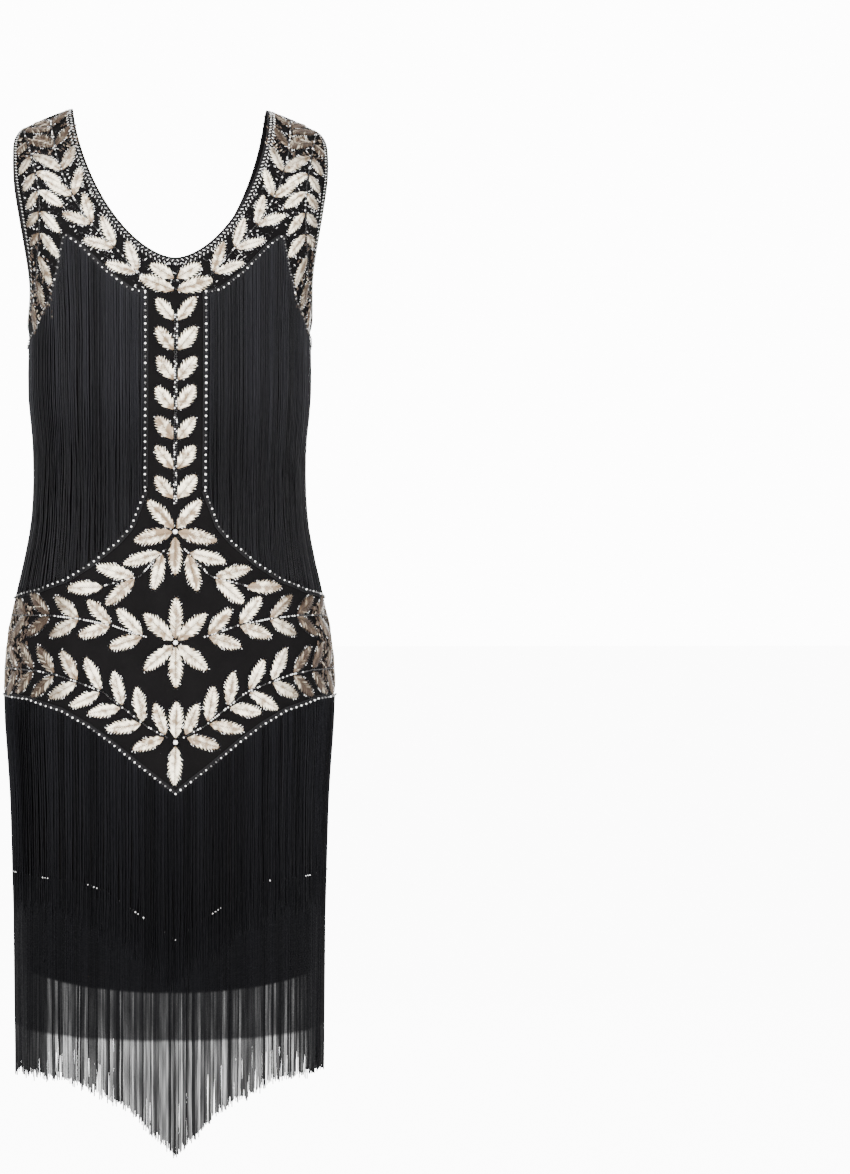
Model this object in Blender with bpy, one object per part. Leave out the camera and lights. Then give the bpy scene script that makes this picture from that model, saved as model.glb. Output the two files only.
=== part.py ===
"""A sleeveless 1920s style flapper dress, filled out as if worn, with no wearer.

A beaded front and back, the lining that shows at the hem, four bodice fringes and two tiers of
skirt fringe. Metres, +Z up, the front faces -Y, the origin lies midway between the shoulders.
Places on the cloth are given as "across", round the body from the centre line, and "down", along
the centre line from the shoulder. Tables give frontal half distances and drops below the shoulder.
"""
import math
from collections import namedtuple
from functools import lru_cache

import bmesh
import bpy
import numpy as np
from mathutils import Vector
from mathutils.geometry import delaunay_2d_cdt

# Cut of the dress
NECK_HALF = 0.1005
NECK_DEPTH = 0.1665
NECK_ROUND = 1.73  # exponent of the scoop
UNDERARM = 0.226
SHEER_HEM = 0.943
LINING_TOP = 0.640
LINING_HEM = 0.890
SHOULDER_FALL = 0.0285  # how far the strap slopes down from neck to arm
FALL_START = 0.088
FALL_RUN = 0.072
FALL_CURVE = 1.4
FALL_FADES = 0.150  # below this drop a ring is level
RING_ROUND = 2.3  # exponent of a ring round the body

# Cloth, seams and layers
WALL = 0.0016
LINING_WALL = 0.0010
LAYER_GAP = 0.0009
SEAM = 0.0003
LEAF_RISE = 0.0014
EDGE_STEP = 0.024  # spacing of points along an edge
ROW_STEP = 0.033
COLUMN_STEP = 0.036
PLAIN_ROW_STEP = 0.044  # rows of the plain inner skin

# Fringe
BODICE_LOCKS = 13  # on each quarter
SKIRT_LOCKS = 36  # on each half of a tier
BODICE_BENDS = 7
UPPER_BENDS = 3
LOWER_BENDS = 2
LOCK_SHARE = 0.76  # width of a lock over its pitch
STRIP_HEIGHT = 0.006
STRIP_OFFSET = 0.0005
LOCK_THICK = 0.0014
LOCK_OFFSET = 0.0012
OVER_TIER_OFFSET = 0.0034  # the upper tier clears the tier below
OVER_TIER_RUN = 0.050
UPPER_TIER_LENGTH = 0.185
END_GAP = 0.004  # bodice fringe stops this far above the hip band
HANG_CURVE = 1.5  # how soon locks follow the body, away from the centre

Ring = namedtuple("Ring", "x y length")
Section = namedtuple("Section", "drop half_width front_depth back_depth")
SECTIONS = [
    Section(0.000, 0.1840, 0.000, 0.000),
    Section(0.003, 0.1840, 0.016, 0.015),
    Section(0.012, 0.1840, 0.032, 0.030),
    Section(0.030, 0.1830, 0.050, 0.047),
    Section(0.060, 0.1805, 0.069, 0.065),
    Section(0.095, 0.1745, 0.086, 0.082),
    Section(0.140, 0.1635, 0.101, 0.096),
    Section(0.180, 0.1525, 0.111, 0.103),
    Section(0.205, 0.1480, 0.115, 0.105),
    Section(0.244, 0.1435, 0.118, 0.106),
    Section(0.300, 0.1420, 0.117, 0.103),
    Section(0.342, 0.1380, 0.112, 0.099),
    Section(0.380, 0.1370, 0.108, 0.098),
    Section(0.420, 0.1390, 0.106, 0.101),
    Section(0.460, 0.1460, 0.107, 0.107),
    Section(0.500, 0.1560, 0.110, 0.114),
    Section(0.545, 0.1655, 0.112, 0.120),
    Section(0.590, 0.1690, 0.113, 0.122),
    Section(0.640, 0.1655, 0.112, 0.120),
    Section(0.720, 0.1605, 0.111, 0.117),
    Section(0.830, 0.1585, 0.111, 0.115),
    Section(0.943, 0.1575, 0.111, 0.114),
    Section(1.080, 0.1570, 0.111, 0.114),
]

# The armhole's edge, as a share of the ring's depth
Armhole = namedtuple("Armhole", "drop depth_share")
ARMHOLE = [
    Armhole(0.000, 0.64),
    Armhole(0.003, 0.62),
    Armhole(0.012, 0.58),
    Armhole(0.030, 0.56),
    Armhole(0.095, 0.54),
    Armhole(0.140, 0.50),
    Armhole(0.180, 0.42),
    Armhole(0.205, 0.30),
    Armhole(0.220, 0.14),
    Armhole(UNDERARM, 0.0),
]

# Lines on one half of a side: frontal distance from the centre, and drop
Place = namedtuple("Place", "half drop")
BODICE_FRINGE_LINE = [
    Place(0.0300, 0.2000), Place(0.0456, 0.1920), Place(0.0690, 0.1680), Place(0.0955, 0.1400),
    Place(0.1090, 0.1305), Place(0.1150, 0.1700), Place(0.1225, 0.2030), Place(0.1348, 0.2320),
    Place(0.1433, 0.2480),
]
HIP_BAND_TOP = [
    Place(0.0295, 0.3975), Place(0.0365, 0.4150), Place(0.0430, 0.4330), Place(0.0570, 0.4490),
    Place(0.0820, 0.4700), Place(0.1070, 0.4860), Place(0.1340, 0.4965), Place(0.1570, 0.5050),
]
HIP_BAND_BOTTOM = [
    Place(0.0000, 0.6990), Place(0.0360, 0.6710), Place(0.0640, 0.6480), Place(0.0860, 0.6320),
    Place(0.1120, 0.6170), Place(0.1450, 0.6060), Place(0.1680, 0.6030),
]
LOWER_TIER_LINE = [
    Place(0.0000, 0.8440), Place(0.0134, 0.8340), Place(0.0690, 0.7960), Place(0.0930, 0.7870),
    Place(0.1500, 0.7830), Place(0.1590, 0.7830),
]
FRINGE_HEM = [
    Place(0.0000, 1.0580), Place(0.0453, 1.0120), Place(0.0980, 0.9860), Place(0.1570, 0.9780),
]

# Leaves that grow in pairs along a stem. Turns are degrees, positive away from the centre line
Vine = namedtuple("Vine", "places start pitch length width inner_turn outer_turn")
VINES = [
    Vine([Place(0.0000, 0.1975), Place(0.0370, 0.1810), Place(0.0574, 0.1560),
          Place(0.0820, 0.1320), Place(0.1002, 0.1030), Place(0.1150, 0.0620),
          Place(0.1200, 0.0150)],
         0.010, 0.034, 0.034, 0.0125, -36, 19),
    Vine([Place(0.1400, 0.0060), Place(0.1365, 0.0600), Place(0.1345, 0.0930),
          Place(0.1350, 0.1400), Place(0.1370, 0.1750), Place(0.1395, 0.2000),
          Place(0.1425, 0.2150)],
         0.000, 0.025, 0.024, 0.0105, -40, 40),
    Vine([Place(0.0010, 0.4100), Place(0.0010, 0.2000)],
         0.004, 0.0295, 0.029, 0.0125, None, 37),
    Vine([Place(0.0095, 0.4560), Place(0.0355, 0.4830), Place(0.0720, 0.4925)],
         0.003, 0.038, 0.036, 0.0130, -31, 29),
    Vine([Place(0.0295, 0.5430), Place(0.0650, 0.5310), Place(0.0965, 0.5250),
          Place(0.1240, 0.5220), Place(0.1670, 0.5220)],
         0.003, 0.034, 0.035, 0.0130, -32, 32),
    Vine([Place(0.0085, 0.6450), Place(0.0285, 0.6320), Place(0.0485, 0.6160),
          Place(0.0715, 0.5980), Place(0.0965, 0.5880), Place(0.1180, 0.5810),
          Place(0.1400, 0.5770), Place(0.1690, 0.5750)],
         0.001, 0.0262, 0.034, 0.0125, -41, 38),
]

# Single petals: place of the base, turn from straight up, and length
Petal = namedtuple("Petal", "half drop turn length")
PETALS = [
    Petal(0.0030, 0.4320, 40, 0.040),
    Petal(0.0040, 0.4370, 104, 0.043),
    Petal(0.0000, 0.4410, 180, 0.042),
    Petal(0.0720, 0.4925, 90, 0.037),
    Petal(0.0000, 0.5430, 0, 0.043),
    Petal(0.0045, 0.5450, 43, 0.041),
    Petal(0.0045, 0.5510, 134, 0.041),
    Petal(0.0000, 0.5530, 180, 0.042),
    Petal(0.0000, 0.6440, 0, 0.036),
    Petal(0.0000, 0.6530, 180, 0.036),
]
PETAL_WIDTH = 0.0135
STALK = 0.002
# A leaf's shape: share of its length from the base, and of its half width to either side
LEAF_RIM = [(0, 0), (0.32, 0.92), (0.68, 0.92), (1, 0), (0.68, -0.92), (0.32, -0.92)]
LEAF_RIDGE = [0.28, 0.72]
LEAF_FILL = 0.90  # raised size over drawn size
ON_CENTRE = 0.001  # closer than this to the centre line, a petal has no twin
SIDE_MARGIN = 0.004
FRINGE_CLEAR = 0.010  # leaf tips stay this far from the bodice fringe
SHORTEST_LEAF = 0.012

FLAT_REACH = 0.22  # width that a half ring is given in the flat pattern
RING_STEPS = 90
PROFILE_STEPS = 400
NUDGE = 0.0004
MERGE = 0.000001
GRID_CLEAR = 0.011  # free points stay this far from edges and leaves

Leaf = namedtuple("Leaf", "across down turn length width")
Finish = namedtuple("Finish", "colour roughness metallic")
NET = Finish((0.016, 0.015, 0.018), 0.75, 0.0)
BEADED_LEAF = Finish((0.76, 0.68, 0.56), 0.38, 0.25)
LINING = Finish((0.010, 0.010, 0.013), 0.55, 0.0)
FRINGE = Finish((0.012, 0.012, 0.017), 0.42, 0.0)


class Curve:
    """A smooth curve through rows, which never overshoots them."""

    def __init__(self, x, y):
        self.x = np.array(x, float)
        self.y = np.array(y, float)
        step = np.diff(self.x)
        rise = np.diff(self.y) / step
        self.slope = np.zeros(len(x))
        self.slope[0], self.slope[-1] = rise[0], rise[-1]
        for i in range(1, len(x) - 1):
            if rise[i - 1] * rise[i] > 0:
                before = 2 * step[i] + step[i - 1]
                after = step[i] + 2 * step[i - 1]
                self.slope[i] = (before + after) / (before / rise[i - 1] + after / rise[i])

    def __call__(self, at):
        at = min(max(at, self.x[0]), self.x[-1])
        i = min(int(np.searchsorted(self.x, at, side="right")) - 1, len(self.x) - 2)
        step = self.x[i + 1] - self.x[i]
        t = (at - self.x[i]) / step
        ends = (1 + 2 * t) * (1 - t) ** 2 * self.y[i] + t * t * (3 - 2 * t) * self.y[i + 1]
        bends = t * (1 - t) ** 2 * self.slope[i] + t * t * (t - 1) * self.slope[i + 1]
        return ends + step * bends


class Side:
    """The smooth surface of the front or the back, measured across and down."""

    def __init__(self, facing, depths):
        self.facing = facing
        drops = [section.drop for section in SECTIONS]
        self.width = Curve(drops, [section.half_width for section in SECTIONS])
        self.depth = Curve(drops, depths)
        self.arm = Curve([row.drop for row in ARMHOLE], [row.depth_share for row in ARMHOLE])
        self.drops = drops[-1] * np.linspace(0, 1, PROFILE_STEPS) ** 2
        profile = np.array([self.depth(drop) for drop in self.drops])
        steps = np.hypot(np.diff(self.drops), np.diff(profile))
        self.downs = np.concatenate([[0], np.cumsum(steps)])

    def down(self, drop):
        return float(np.interp(drop, self.drops, self.downs))

    def drop(self, down):
        return float(np.interp(down, self.downs, self.drops))

    @lru_cache(maxsize=None)
    def ring(self, drop):
        """A quarter of the ring at this drop, from the centre line to the side."""
        turn = np.linspace(0, math.pi / 2, RING_STEPS)
        x = self.width(drop) * np.sin(turn) ** (2 / RING_ROUND)
        y = self.depth(drop) * np.cos(turn).clip(0) ** (2 / RING_ROUND)
        length = np.concatenate([[0], np.cumsum(np.hypot(np.diff(x), np.diff(y)))])
        return Ring(x, y, length)

    def reach(self, down):
        return float(self.ring(self.drop(down)).length[-1])

    def place(self, half, drop):
        """A frontal place as (across, down)."""
        ring = self.ring(drop)
        return float(np.interp(half, ring.x, ring.length)), self.down(drop)

    def on(self, across, down):
        drop = self.drop(down)
        ring = self.ring(drop)
        x = float(np.interp(abs(across), ring.length, ring.x))
        y = float(np.interp(abs(across), ring.length, ring.y))
        share = min(max((x - FALL_START) / FALL_RUN, 0), 1) ** FALL_CURVE
        fall = SHOULDER_FALL * share * max(0, 1 - drop / FALL_FADES)
        return Vector((math.copysign(x, across), self.facing * (y + SEAM / 2), -drop - fall))

    def point(self, across, down, out):
        """A point on the cloth, moved out along its normal."""
        here = self.on(across, down)
        if not out:
            return here
        reach = self.reach(down)
        right = self.on(min(across + NUDGE, reach), down)
        left = self.on(max(across - NUDGE, -reach), down)
        below = self.on(across, down + NUDGE)
        above = self.on(across, max(down - NUDGE, 0))
        normal = (right - left).cross(above - below) * -self.facing
        if abs(here.y) < SEAM:
            normal.y = 0  # an edge on a seam is cut along the seam
        return here + normal.normalized() * out

    def flat(self, across, down):
        return Vector((across / self.reach(down) * FLAT_REACH, -down))

    def from_flat(self, spot):
        down = max(-spot.y, 0)
        return spot.x / FLAT_REACH * self.reach(down), down


def resample(points, step):
    """Points along a run, evenly spaced, with both ends kept."""
    points = np.array([tuple(point) for point in points])
    lengths = np.concatenate([[0], np.cumsum(np.linalg.norm(np.diff(points, axis=0), axis=1))])
    count = max(2, round(lengths[-1] / step) + 1)
    at = np.linspace(0, lengths[-1], count)
    return [Vector((np.interp(s, lengths, points[:, 0]), np.interp(s, lengths, points[:, 1])))
            for s in at]


def neck_run(side):
    """The neck edge, from the bottom of the scoop up to the shoulder."""
    run = []
    for turn in np.linspace(0, math.pi / 2, RING_STEPS):
        drop = NECK_DEPTH * max(math.cos(turn), 0) ** (2 / NECK_ROUND)
        half = NECK_HALF * math.sin(turn) ** (2 / NECK_ROUND)
        run.append(side.flat(*side.place(half, drop)))
    return run


def arm_run(side):
    """The armhole's edge, from the shoulder down to the side seam."""
    run = []
    for turn in np.linspace(0, math.pi, RING_STEPS):
        drop = UNDERARM * (1 - math.cos(turn)) / 2
        ring = side.ring(drop)
        half = side.width(drop) * (1 - side.arm(drop) ** RING_ROUND) ** (1 / RING_ROUND)
        run.append(side.flat(float(np.interp(half, ring.x, ring.length)), side.down(drop)))
    return run


def mirror_outline(half):
    """A closed outline from its right half, which starts and ends on the centre line."""
    left = [Vector((-spot.x, spot.y)) for spot in half[1:-1]]
    return half + left[::-1]


def panel_outline(side):
    hem = -side.down(SHEER_HEM)
    neck = resample(neck_run(side), EDGE_STEP)
    arm = resample(arm_run(side), EDGE_STEP)
    shoulder = resample([neck[-1], arm[0]], EDGE_STEP)
    seam = resample([arm[-1], Vector((FLAT_REACH, hem))], ROW_STEP)
    foot = resample([Vector((FLAT_REACH, hem)), Vector((0, hem))], EDGE_STEP)
    return mirror_outline(neck[:-1] + shoulder[:-1] + arm[:-1] + seam[:-1] + foot)


def lining_outline(side):
    top, hem = -side.down(LINING_TOP), -side.down(LINING_HEM)
    corners = [(0, top), (FLAT_REACH, top), (FLAT_REACH, hem), (0, hem)]
    corners = [Vector(corner) for corner in corners]
    half = []
    for start, end in zip(corners, corners[1:]):
        half += resample([start, end], COLUMN_STEP)[:-1]
    return mirror_outline(half + [corners[-1]])


def vine_leaves(side, vine):
    """Pairs of leaves along a stem, on the right half."""
    stem = [Vector(side.place(*place)) for place in vine.places]
    leaves = []
    to_go = vine.start
    for start, end in zip(stem, stem[1:]):
        run = end - start
        while to_go < run.length:
            base = start + run.normalized() * to_go
            heading = math.degrees(math.atan2(run.x, -run.y))
            for turn in (vine.inner_turn, vine.outer_turn):
                if turn is not None:
                    leaves.append(Leaf(base.x, base.y, heading + turn, vine.length, vine.width))
            to_go += vine.pitch
        to_go -= run.length
    return leaves


def leaf_ends(leaf):
    turn = math.radians(leaf.turn)
    heading = Vector((math.sin(turn), -math.cos(turn)))
    base = Vector((leaf.across, leaf.down))
    return base + heading * STALK, base + heading * leaf.length


def side_leaves(side):
    """Every leaf and petal of one side, on both halves."""
    right = []
    centred = []
    for vine in VINES:
        right += vine_leaves(side, vine)
    for petal in PETALS:
        across, down = side.place(petal.half, petal.drop)
        leaf = Leaf(across, down, petal.turn, petal.length, PETAL_WIDTH)
        (centred if petal.half < ON_CENTRE else right).append(leaf)
    outline = panel_outline(side)
    fringe_line = [side.flat(*side.place(*place)) for place in BODICE_FRINGE_LINE]
    kept = []
    for leaf in right:
        while leaf.length > SHORTEST_LEAF:
            tip = side.flat(*leaf_ends(leaf)[1])
            if edge_distance(tip, fringe_line) > FRINGE_CLEAR:
                break
            leaf = leaf._replace(length=leaf.length * LEAF_FILL)
        ends = [side.flat(*spot) for spot in leaf_ends(leaf)]
        inside = all(is_inside(end, outline) for end in ends)
        if inside and all(edge_distance(end, outline) > SIDE_MARGIN for end in ends):
            kept.append(leaf)
    mirrored = [leaf._replace(across=-leaf.across, turn=-leaf.turn) for leaf in kept]
    return kept + mirrored + centred


def is_inside(spot, outline):
    crossed = False
    for a, b in zip(outline, outline[1:] + outline[:1]):
        if (a.y > spot.y) != (b.y > spot.y):
            if spot.x < a.x + (spot.y - a.y) / (b.y - a.y) * (b.x - a.x):
                crossed = not crossed
    return crossed


def edge_distance(spot, outline):
    nearest = 1.0
    for a, b in zip(outline, outline[1:] + outline[:1]):
        run = b - a
        along = min(max((spot - a).dot(run) / run.length_squared, 0), 1)
        nearest = min(nearest, (spot - a - run * along).length)
    return nearest


def leaf_points(side, leaf):
    """A leaf's rim and its raised ridge, in the flat pattern."""
    base, tip = leaf_ends(leaf)
    middle = (base + tip) / 2
    axis = (tip - base) * LEAF_FILL
    across = Vector((-axis.y, axis.x)).normalized() * leaf.width / 2
    base = middle - axis / 2
    rim = [side.flat(*(base + axis * along + across * out)) for along, out in LEAF_RIM]
    ridge = [side.flat(*(base + axis * along)) for along in LEAF_RIDGE]
    return rim, ridge


def grid(side, outline, leaves, row_step):
    """Points inside an outline, clear of its edge and of the leaves."""
    spots = []
    axes = [[side.flat(*end) for end in leaf_ends(leaf)] for leaf in leaves]
    lowest = min(spot.y for spot in outline)
    highest = max(spot.y for spot in outline)
    rows = round((highest - lowest) / row_step)
    columns = round(FLAT_REACH / COLUMN_STEP)
    for row in range(1, rows):
        for column in range(-columns, columns + 1):
            spot = Vector((FLAT_REACH * column / columns,
                           highest + (lowest - highest) * row / rows))
            if not is_inside(spot, outline) or edge_distance(spot, outline) < GRID_CLEAR:
                continue
            if all(edge_distance(spot, axis) > GRID_CLEAR for axis in axes):
                spots.append(spot)
    return spots


def skin(side, outline, spots, leaves):
    """Triangles over an outline, as flat spots, how far each is raised, and faces."""
    flat = list(outline)
    edges = [(i, (i + 1) % len(outline)) for i in range(len(outline))]
    raised = {}
    for leaf in leaves:
        rim, ridge = leaf_points(side, leaf)
        first = len(flat)
        flat += rim + ridge
        edges += [(first + i, first + (i + 1) % len(rim)) for i in range(len(rim))]
        edges.append((first + len(rim), first + len(rim) + 1))
        raised[first + len(rim)] = LEAF_RISE
        raised[first + len(rim) + 1] = LEAF_RISE
    flat += spots
    spots, _, faces, origins, _, _ = delaunay_2d_cdt(flat, edges, [], 0, MERGE, True)
    heights = [max([raised.get(i, 0.0) for i in origin], default=0.0) for origin in origins]
    rim_count = len(outline)
    order = {}
    for i, origin in enumerate(origins):
        for source in origin:
            if source < rim_count:
                order[source] = i
    inside = []
    for face in faces:
        centre = sum((spots[i] for i in face), Vector((0, 0))) / 3
        if is_inside(centre, outline):
            inside.append(face)
    return spots, heights, inside, [order[i] for i in range(rim_count)]


def finish_material(name, finish):
    material = bpy.data.materials.new(name)
    material.use_nodes = True
    shader = material.node_tree.nodes["Principled BSDF"]
    shader.inputs["Base Color"].default_value = (*finish.colour, 1)
    shader.inputs["Roughness"].default_value = finish.roughness
    shader.inputs["Metallic"].default_value = finish.metallic
    return material


def add_object(name, mesh_builder, materials):
    """A named object from a filled bmesh, with its faces turned out."""
    bmesh.ops.recalc_face_normals(mesh_builder, faces=mesh_builder.faces)
    mesh = bpy.data.meshes.new(name)
    mesh_builder.to_mesh(mesh)
    mesh_builder.free()
    for material in materials:
        mesh.materials.append(material)
    piece = bpy.data.objects.new(name, mesh)
    bpy.context.scene.collection.objects.link(piece)
    return piece


def cloth_wall(name, side, outline, leaves, inset, thickness, materials):
    """A wall of cloth: an outer skin with raised leaves, a plain inner skin, and the rim."""
    builder = bmesh.new()
    rims = []
    for out, motifs, row_step in ((-inset, leaves, ROW_STEP),
                                  (-inset - thickness, [], PLAIN_ROW_STEP)):
        spots = grid(side, outline, motifs, row_step)
        spots, heights, faces, rim = skin(side, outline, spots, motifs)
        verts = []
        for spot, height in zip(spots, heights):
            across, down = side.from_flat(spot)
            verts.append(builder.verts.new(side.point(across, down, out + height)))
        for face in faces:
            made = builder.faces.new([verts[i] for i in face])
            made.material_index = int(any(heights[i] > 0 for i in face))
        rims.append([verts[i] for i in rim])
    outer, inner = rims
    for i in range(len(outer)):
        after = (i + 1) % len(outer)
        builder.faces.new((outer[i], outer[after], inner[after], inner[i]))
    bmesh.ops.delete(builder, geom=[v for v in builder.verts if not v.link_faces],
                     context="VERTS")
    bmesh.ops.triangulate(builder, faces=builder.faces)
    return add_object(name, builder, materials)


def follow(side, places, mirrored):
    """A line's level as a function of across, for one quarter or for both halves."""
    spots = sorted(side.place(*place) for place in places)
    across = [spot[0] for spot in spots]
    down = [spot[1] for spot in spots]
    if mirrored:
        return lambda at: float(np.interp(abs(at), across, down))
    return lambda at: float(np.interp(at, across, down))


def lock_across(side, root, root_down, down):
    """Where a lock hangs at a level: straight near the centre, with the body at the side."""
    reach = side.reach(root_down)
    pull = (abs(root) / reach) ** HANG_CURVE
    return root * (1 + pull * (side.reach(down) / reach - 1))


def fringe(name, side, line, ends, span, locks, steps, bends, over, material, half_sign=1):
    """A narrow strip along a line, with locks that hang from it. One closed body."""
    builder = bmesh.new()

    def spot(across, down, out):
        return builder.verts.new(side.point(half_sign * across, down, out))

    pitch = (span[1] - span[0]) / locks
    half = pitch * LOCK_SHARE / 2
    columns = []
    for i in range(locks * steps + 1):
        at = span[0] + pitch * i / steps
        columns.append([spot(at, line(at) + drop, out) for drop in (0, STRIP_HEIGHT)
                        for out in (STRIP_OFFSET + LOCK_THICK, STRIP_OFFSET)])
    top_out, top_in, low_out, low_in = range(4)
    for column in (columns[0], columns[-1]):
        builder.faces.new([column[i] for i in (top_out, top_in, low_in, low_out)])
    for left, right in zip(columns, columns[1:]):
        builder.faces.new((left[top_out], right[top_out], right[low_out], left[low_out]))
        builder.faces.new((left[top_in], left[low_in], right[low_in], right[top_in]))
        builder.faces.new((left[top_out], left[top_in], right[top_in], right[top_out]))

    for i in range(locks):
        root = columns[i * steps:(i + 1) * steps + 1]
        middle = span[0] + pitch * (i + 0.5)
        top = max(line(middle - pitch / 2), line(middle + pitch / 2)) + 2 * STRIP_HEIGHT
        ring = None
        for level in np.linspace(0, 1, bends + 1):
            down = top + (ends(middle) - top) * level
            centre = lock_across(side, middle, top, down)
            out = LOCK_OFFSET + over * min(1, (down - top) / OVER_TIER_RUN)
            below = [spot(centre, down, out + LOCK_THICK), spot(centre - half, down, out),
                     spot(centre + half, down, out)]
            if ring is None:
                for left, right in zip(root, root[1:]):
                    builder.faces.new((left[low_out], right[low_out], below[0]))
                    if right is root[-1]:
                        builder.faces.new((right[low_in], left[low_in], below[1], below[2]))
                    else:
                        builder.faces.new((right[low_in], left[low_in], below[1]))
                left, right = root[0], root[-1]
                builder.faces.new((left[low_in], left[low_out], below[0], below[1]))
                builder.faces.new((right[low_out], right[low_in], below[2], below[0]))
            else:
                for a, b in ((0, 1), (1, 2), (2, 0)):
                    builder.faces.new((ring[a], ring[b], below[b], below[a]))
            ring = below
        builder.faces.new(ring)
    bmesh.ops.triangulate(builder, faces=builder.faces)
    return add_object(name, builder, [material])


def build():
    for old in list(bpy.data.objects):
        bpy.data.objects.remove(old)
    net = finish_material("beaded_net", NET)
    leaf = finish_material("leaf_beading", BEADED_LEAF)
    lining = finish_material("lining_cloth", LINING)
    thread = finish_material("fringe_thread", FRINGE)

    sides = {
        "front": Side(-1, [section.front_depth for section in SECTIONS]),
        "back": Side(1, [section.back_depth for section in SECTIONS]),
    }
    for name, side in sides.items():
        cloth_wall(f"{name}_panel", side, panel_outline(side), side_leaves(side), 0.0, WALL,
                   [net, leaf])
        cloth_wall(f"lining_{name}", side, lining_outline(side), [], WALL + LAYER_GAP,
                   LINING_WALL, [lining])

        line = follow(side, BODICE_FRINGE_LINE, mirrored=False)
        stop = follow(side, HIP_BAND_TOP, mirrored=False)
        inner = side.place(*BODICE_FRINGE_LINE[0])[0]
        outer = side.reach(side.down(BODICE_FRINGE_LINE[-1].drop)) - SIDE_MARGIN / 2
        for half_name, half_sign in (("right", 1), ("left", -1)):
            fringe(f"bodice_fringe_{name}_{half_name}", side, line,
                   lambda at: stop(at) - END_GAP, (inner, outer), BODICE_LOCKS, 2,
                   BODICE_BENDS, 0.0, thread, half_sign)

        upper = follow(side, HIP_BAND_BOTTOM, mirrored=True)
        lower = follow(side, LOWER_TIER_LINE, mirrored=True)
        hem = follow(side, FRINGE_HEM, mirrored=True)
        wide = side.reach(side.down(HIP_BAND_BOTTOM[-1].drop)) - SIDE_MARGIN / 2
        fringe(f"skirt_fringe_upper_{name}", side, upper,
               lambda at: upper(at) + UPPER_TIER_LENGTH, (-wide, wide), SKIRT_LOCKS, 1, UPPER_BENDS,
               OVER_TIER_OFFSET - LOCK_OFFSET, thread)
        wide = side.reach(side.down(LOWER_TIER_LINE[-1].drop)) - SIDE_MARGIN / 2
        fringe(f"skirt_fringe_lower_{name}", side, lower, hem, (-wide, wide), SKIRT_LOCKS,
               1, LOWER_BENDS, 0.0, thread)


build()
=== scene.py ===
import math
from collections import namedtuple

import bmesh
import bpy
import numpy as np
from mathutils import Matrix, Vector
from mathutils.geometry import delaunay_2d_cdt


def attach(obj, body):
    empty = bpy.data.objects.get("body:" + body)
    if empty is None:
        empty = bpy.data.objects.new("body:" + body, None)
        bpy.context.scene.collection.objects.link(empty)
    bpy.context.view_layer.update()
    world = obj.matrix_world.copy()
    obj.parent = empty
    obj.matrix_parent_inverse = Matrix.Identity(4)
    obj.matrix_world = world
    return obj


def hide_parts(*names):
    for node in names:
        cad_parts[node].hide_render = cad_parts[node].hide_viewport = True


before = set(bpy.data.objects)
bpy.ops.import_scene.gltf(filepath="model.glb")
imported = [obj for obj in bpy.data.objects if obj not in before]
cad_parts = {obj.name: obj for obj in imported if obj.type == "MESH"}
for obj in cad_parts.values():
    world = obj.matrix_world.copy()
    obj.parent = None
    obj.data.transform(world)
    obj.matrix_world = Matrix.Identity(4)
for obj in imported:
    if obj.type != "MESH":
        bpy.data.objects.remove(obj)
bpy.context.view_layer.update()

chance = np.random.default_rng(27)

# The form of the dress, as the solids have it. Metres, from the shoulder down
cut = {
    "neckHalf": 0.1005,
    "neckDepth": 0.1665,
    "neckRound": 1.73,
    "underarm": 0.226,
    "netHem": 0.943,
    "liningTop": 0.640,
    "liningHem": 0.896,
    "netRise": 0.008,  # how much higher the hems are at the side seams
    "liningRise": 0.030,
    "shoulderFall": 0.0285,  # the shoulder's slope, where it starts and how it fades down
    "fallStart": 0.088,
    "fallRun": 0.072,
    "fallCurve": 1.4,
    "fallFades": 0.150,
    "ringRound": 2.3,
    "seam": 0.0003,
    "clothThick": 0.0006,
    "liningInset": 0.0026,
    "sheerRun": 0.012,  # how soon the net turns sheer below the lining's top
    "gridStep": 0.0075,
    "gridClear": 0.55,  # of a step, between the grid and the cut edge
    "edgeStep": 0.005,
    "edgePoints": 120,
}

# drop, half width, depth of the front, depth of the back
sections = np.array([
    (0.000, 0.1840, 0.000, 0.000),
    (0.003, 0.1840, 0.016, 0.015),
    (0.012, 0.1840, 0.032, 0.030),
    (0.030, 0.1830, 0.050, 0.047),
    (0.060, 0.1805, 0.069, 0.065),
    (0.095, 0.1745, 0.086, 0.082),
    (0.140, 0.1635, 0.101, 0.096),
    (0.180, 0.1525, 0.111, 0.103),
    (0.205, 0.1480, 0.115, 0.105),
    (0.244, 0.1435, 0.118, 0.106),
    (0.300, 0.1420, 0.117, 0.103),
    (0.342, 0.1380, 0.112, 0.099),
    (0.380, 0.1370, 0.108, 0.098),
    (0.420, 0.1390, 0.106, 0.101),
    (0.460, 0.1460, 0.107, 0.107),
    (0.500, 0.1560, 0.110, 0.114),
    (0.545, 0.1655, 0.112, 0.120),
    (0.590, 0.1690, 0.113, 0.122),
    (0.640, 0.1655, 0.112, 0.120),
    (0.720, 0.1605, 0.111, 0.117),
    (0.830, 0.1585, 0.111, 0.115),
    (0.943, 0.1575, 0.111, 0.114),
    (1.080, 0.1570, 0.111, 0.114),
])

# drop, share of the ring's depth where the armhole's edge lies
armhole = np.array([
    (0.000, 0.64), (0.003, 0.62), (0.012, 0.58), (0.030, 0.56), (0.095, 0.54),
    (0.140, 0.50), (0.180, 0.42), (0.205, 0.30), (0.220, 0.14), (0.226, 0.00),
])

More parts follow.
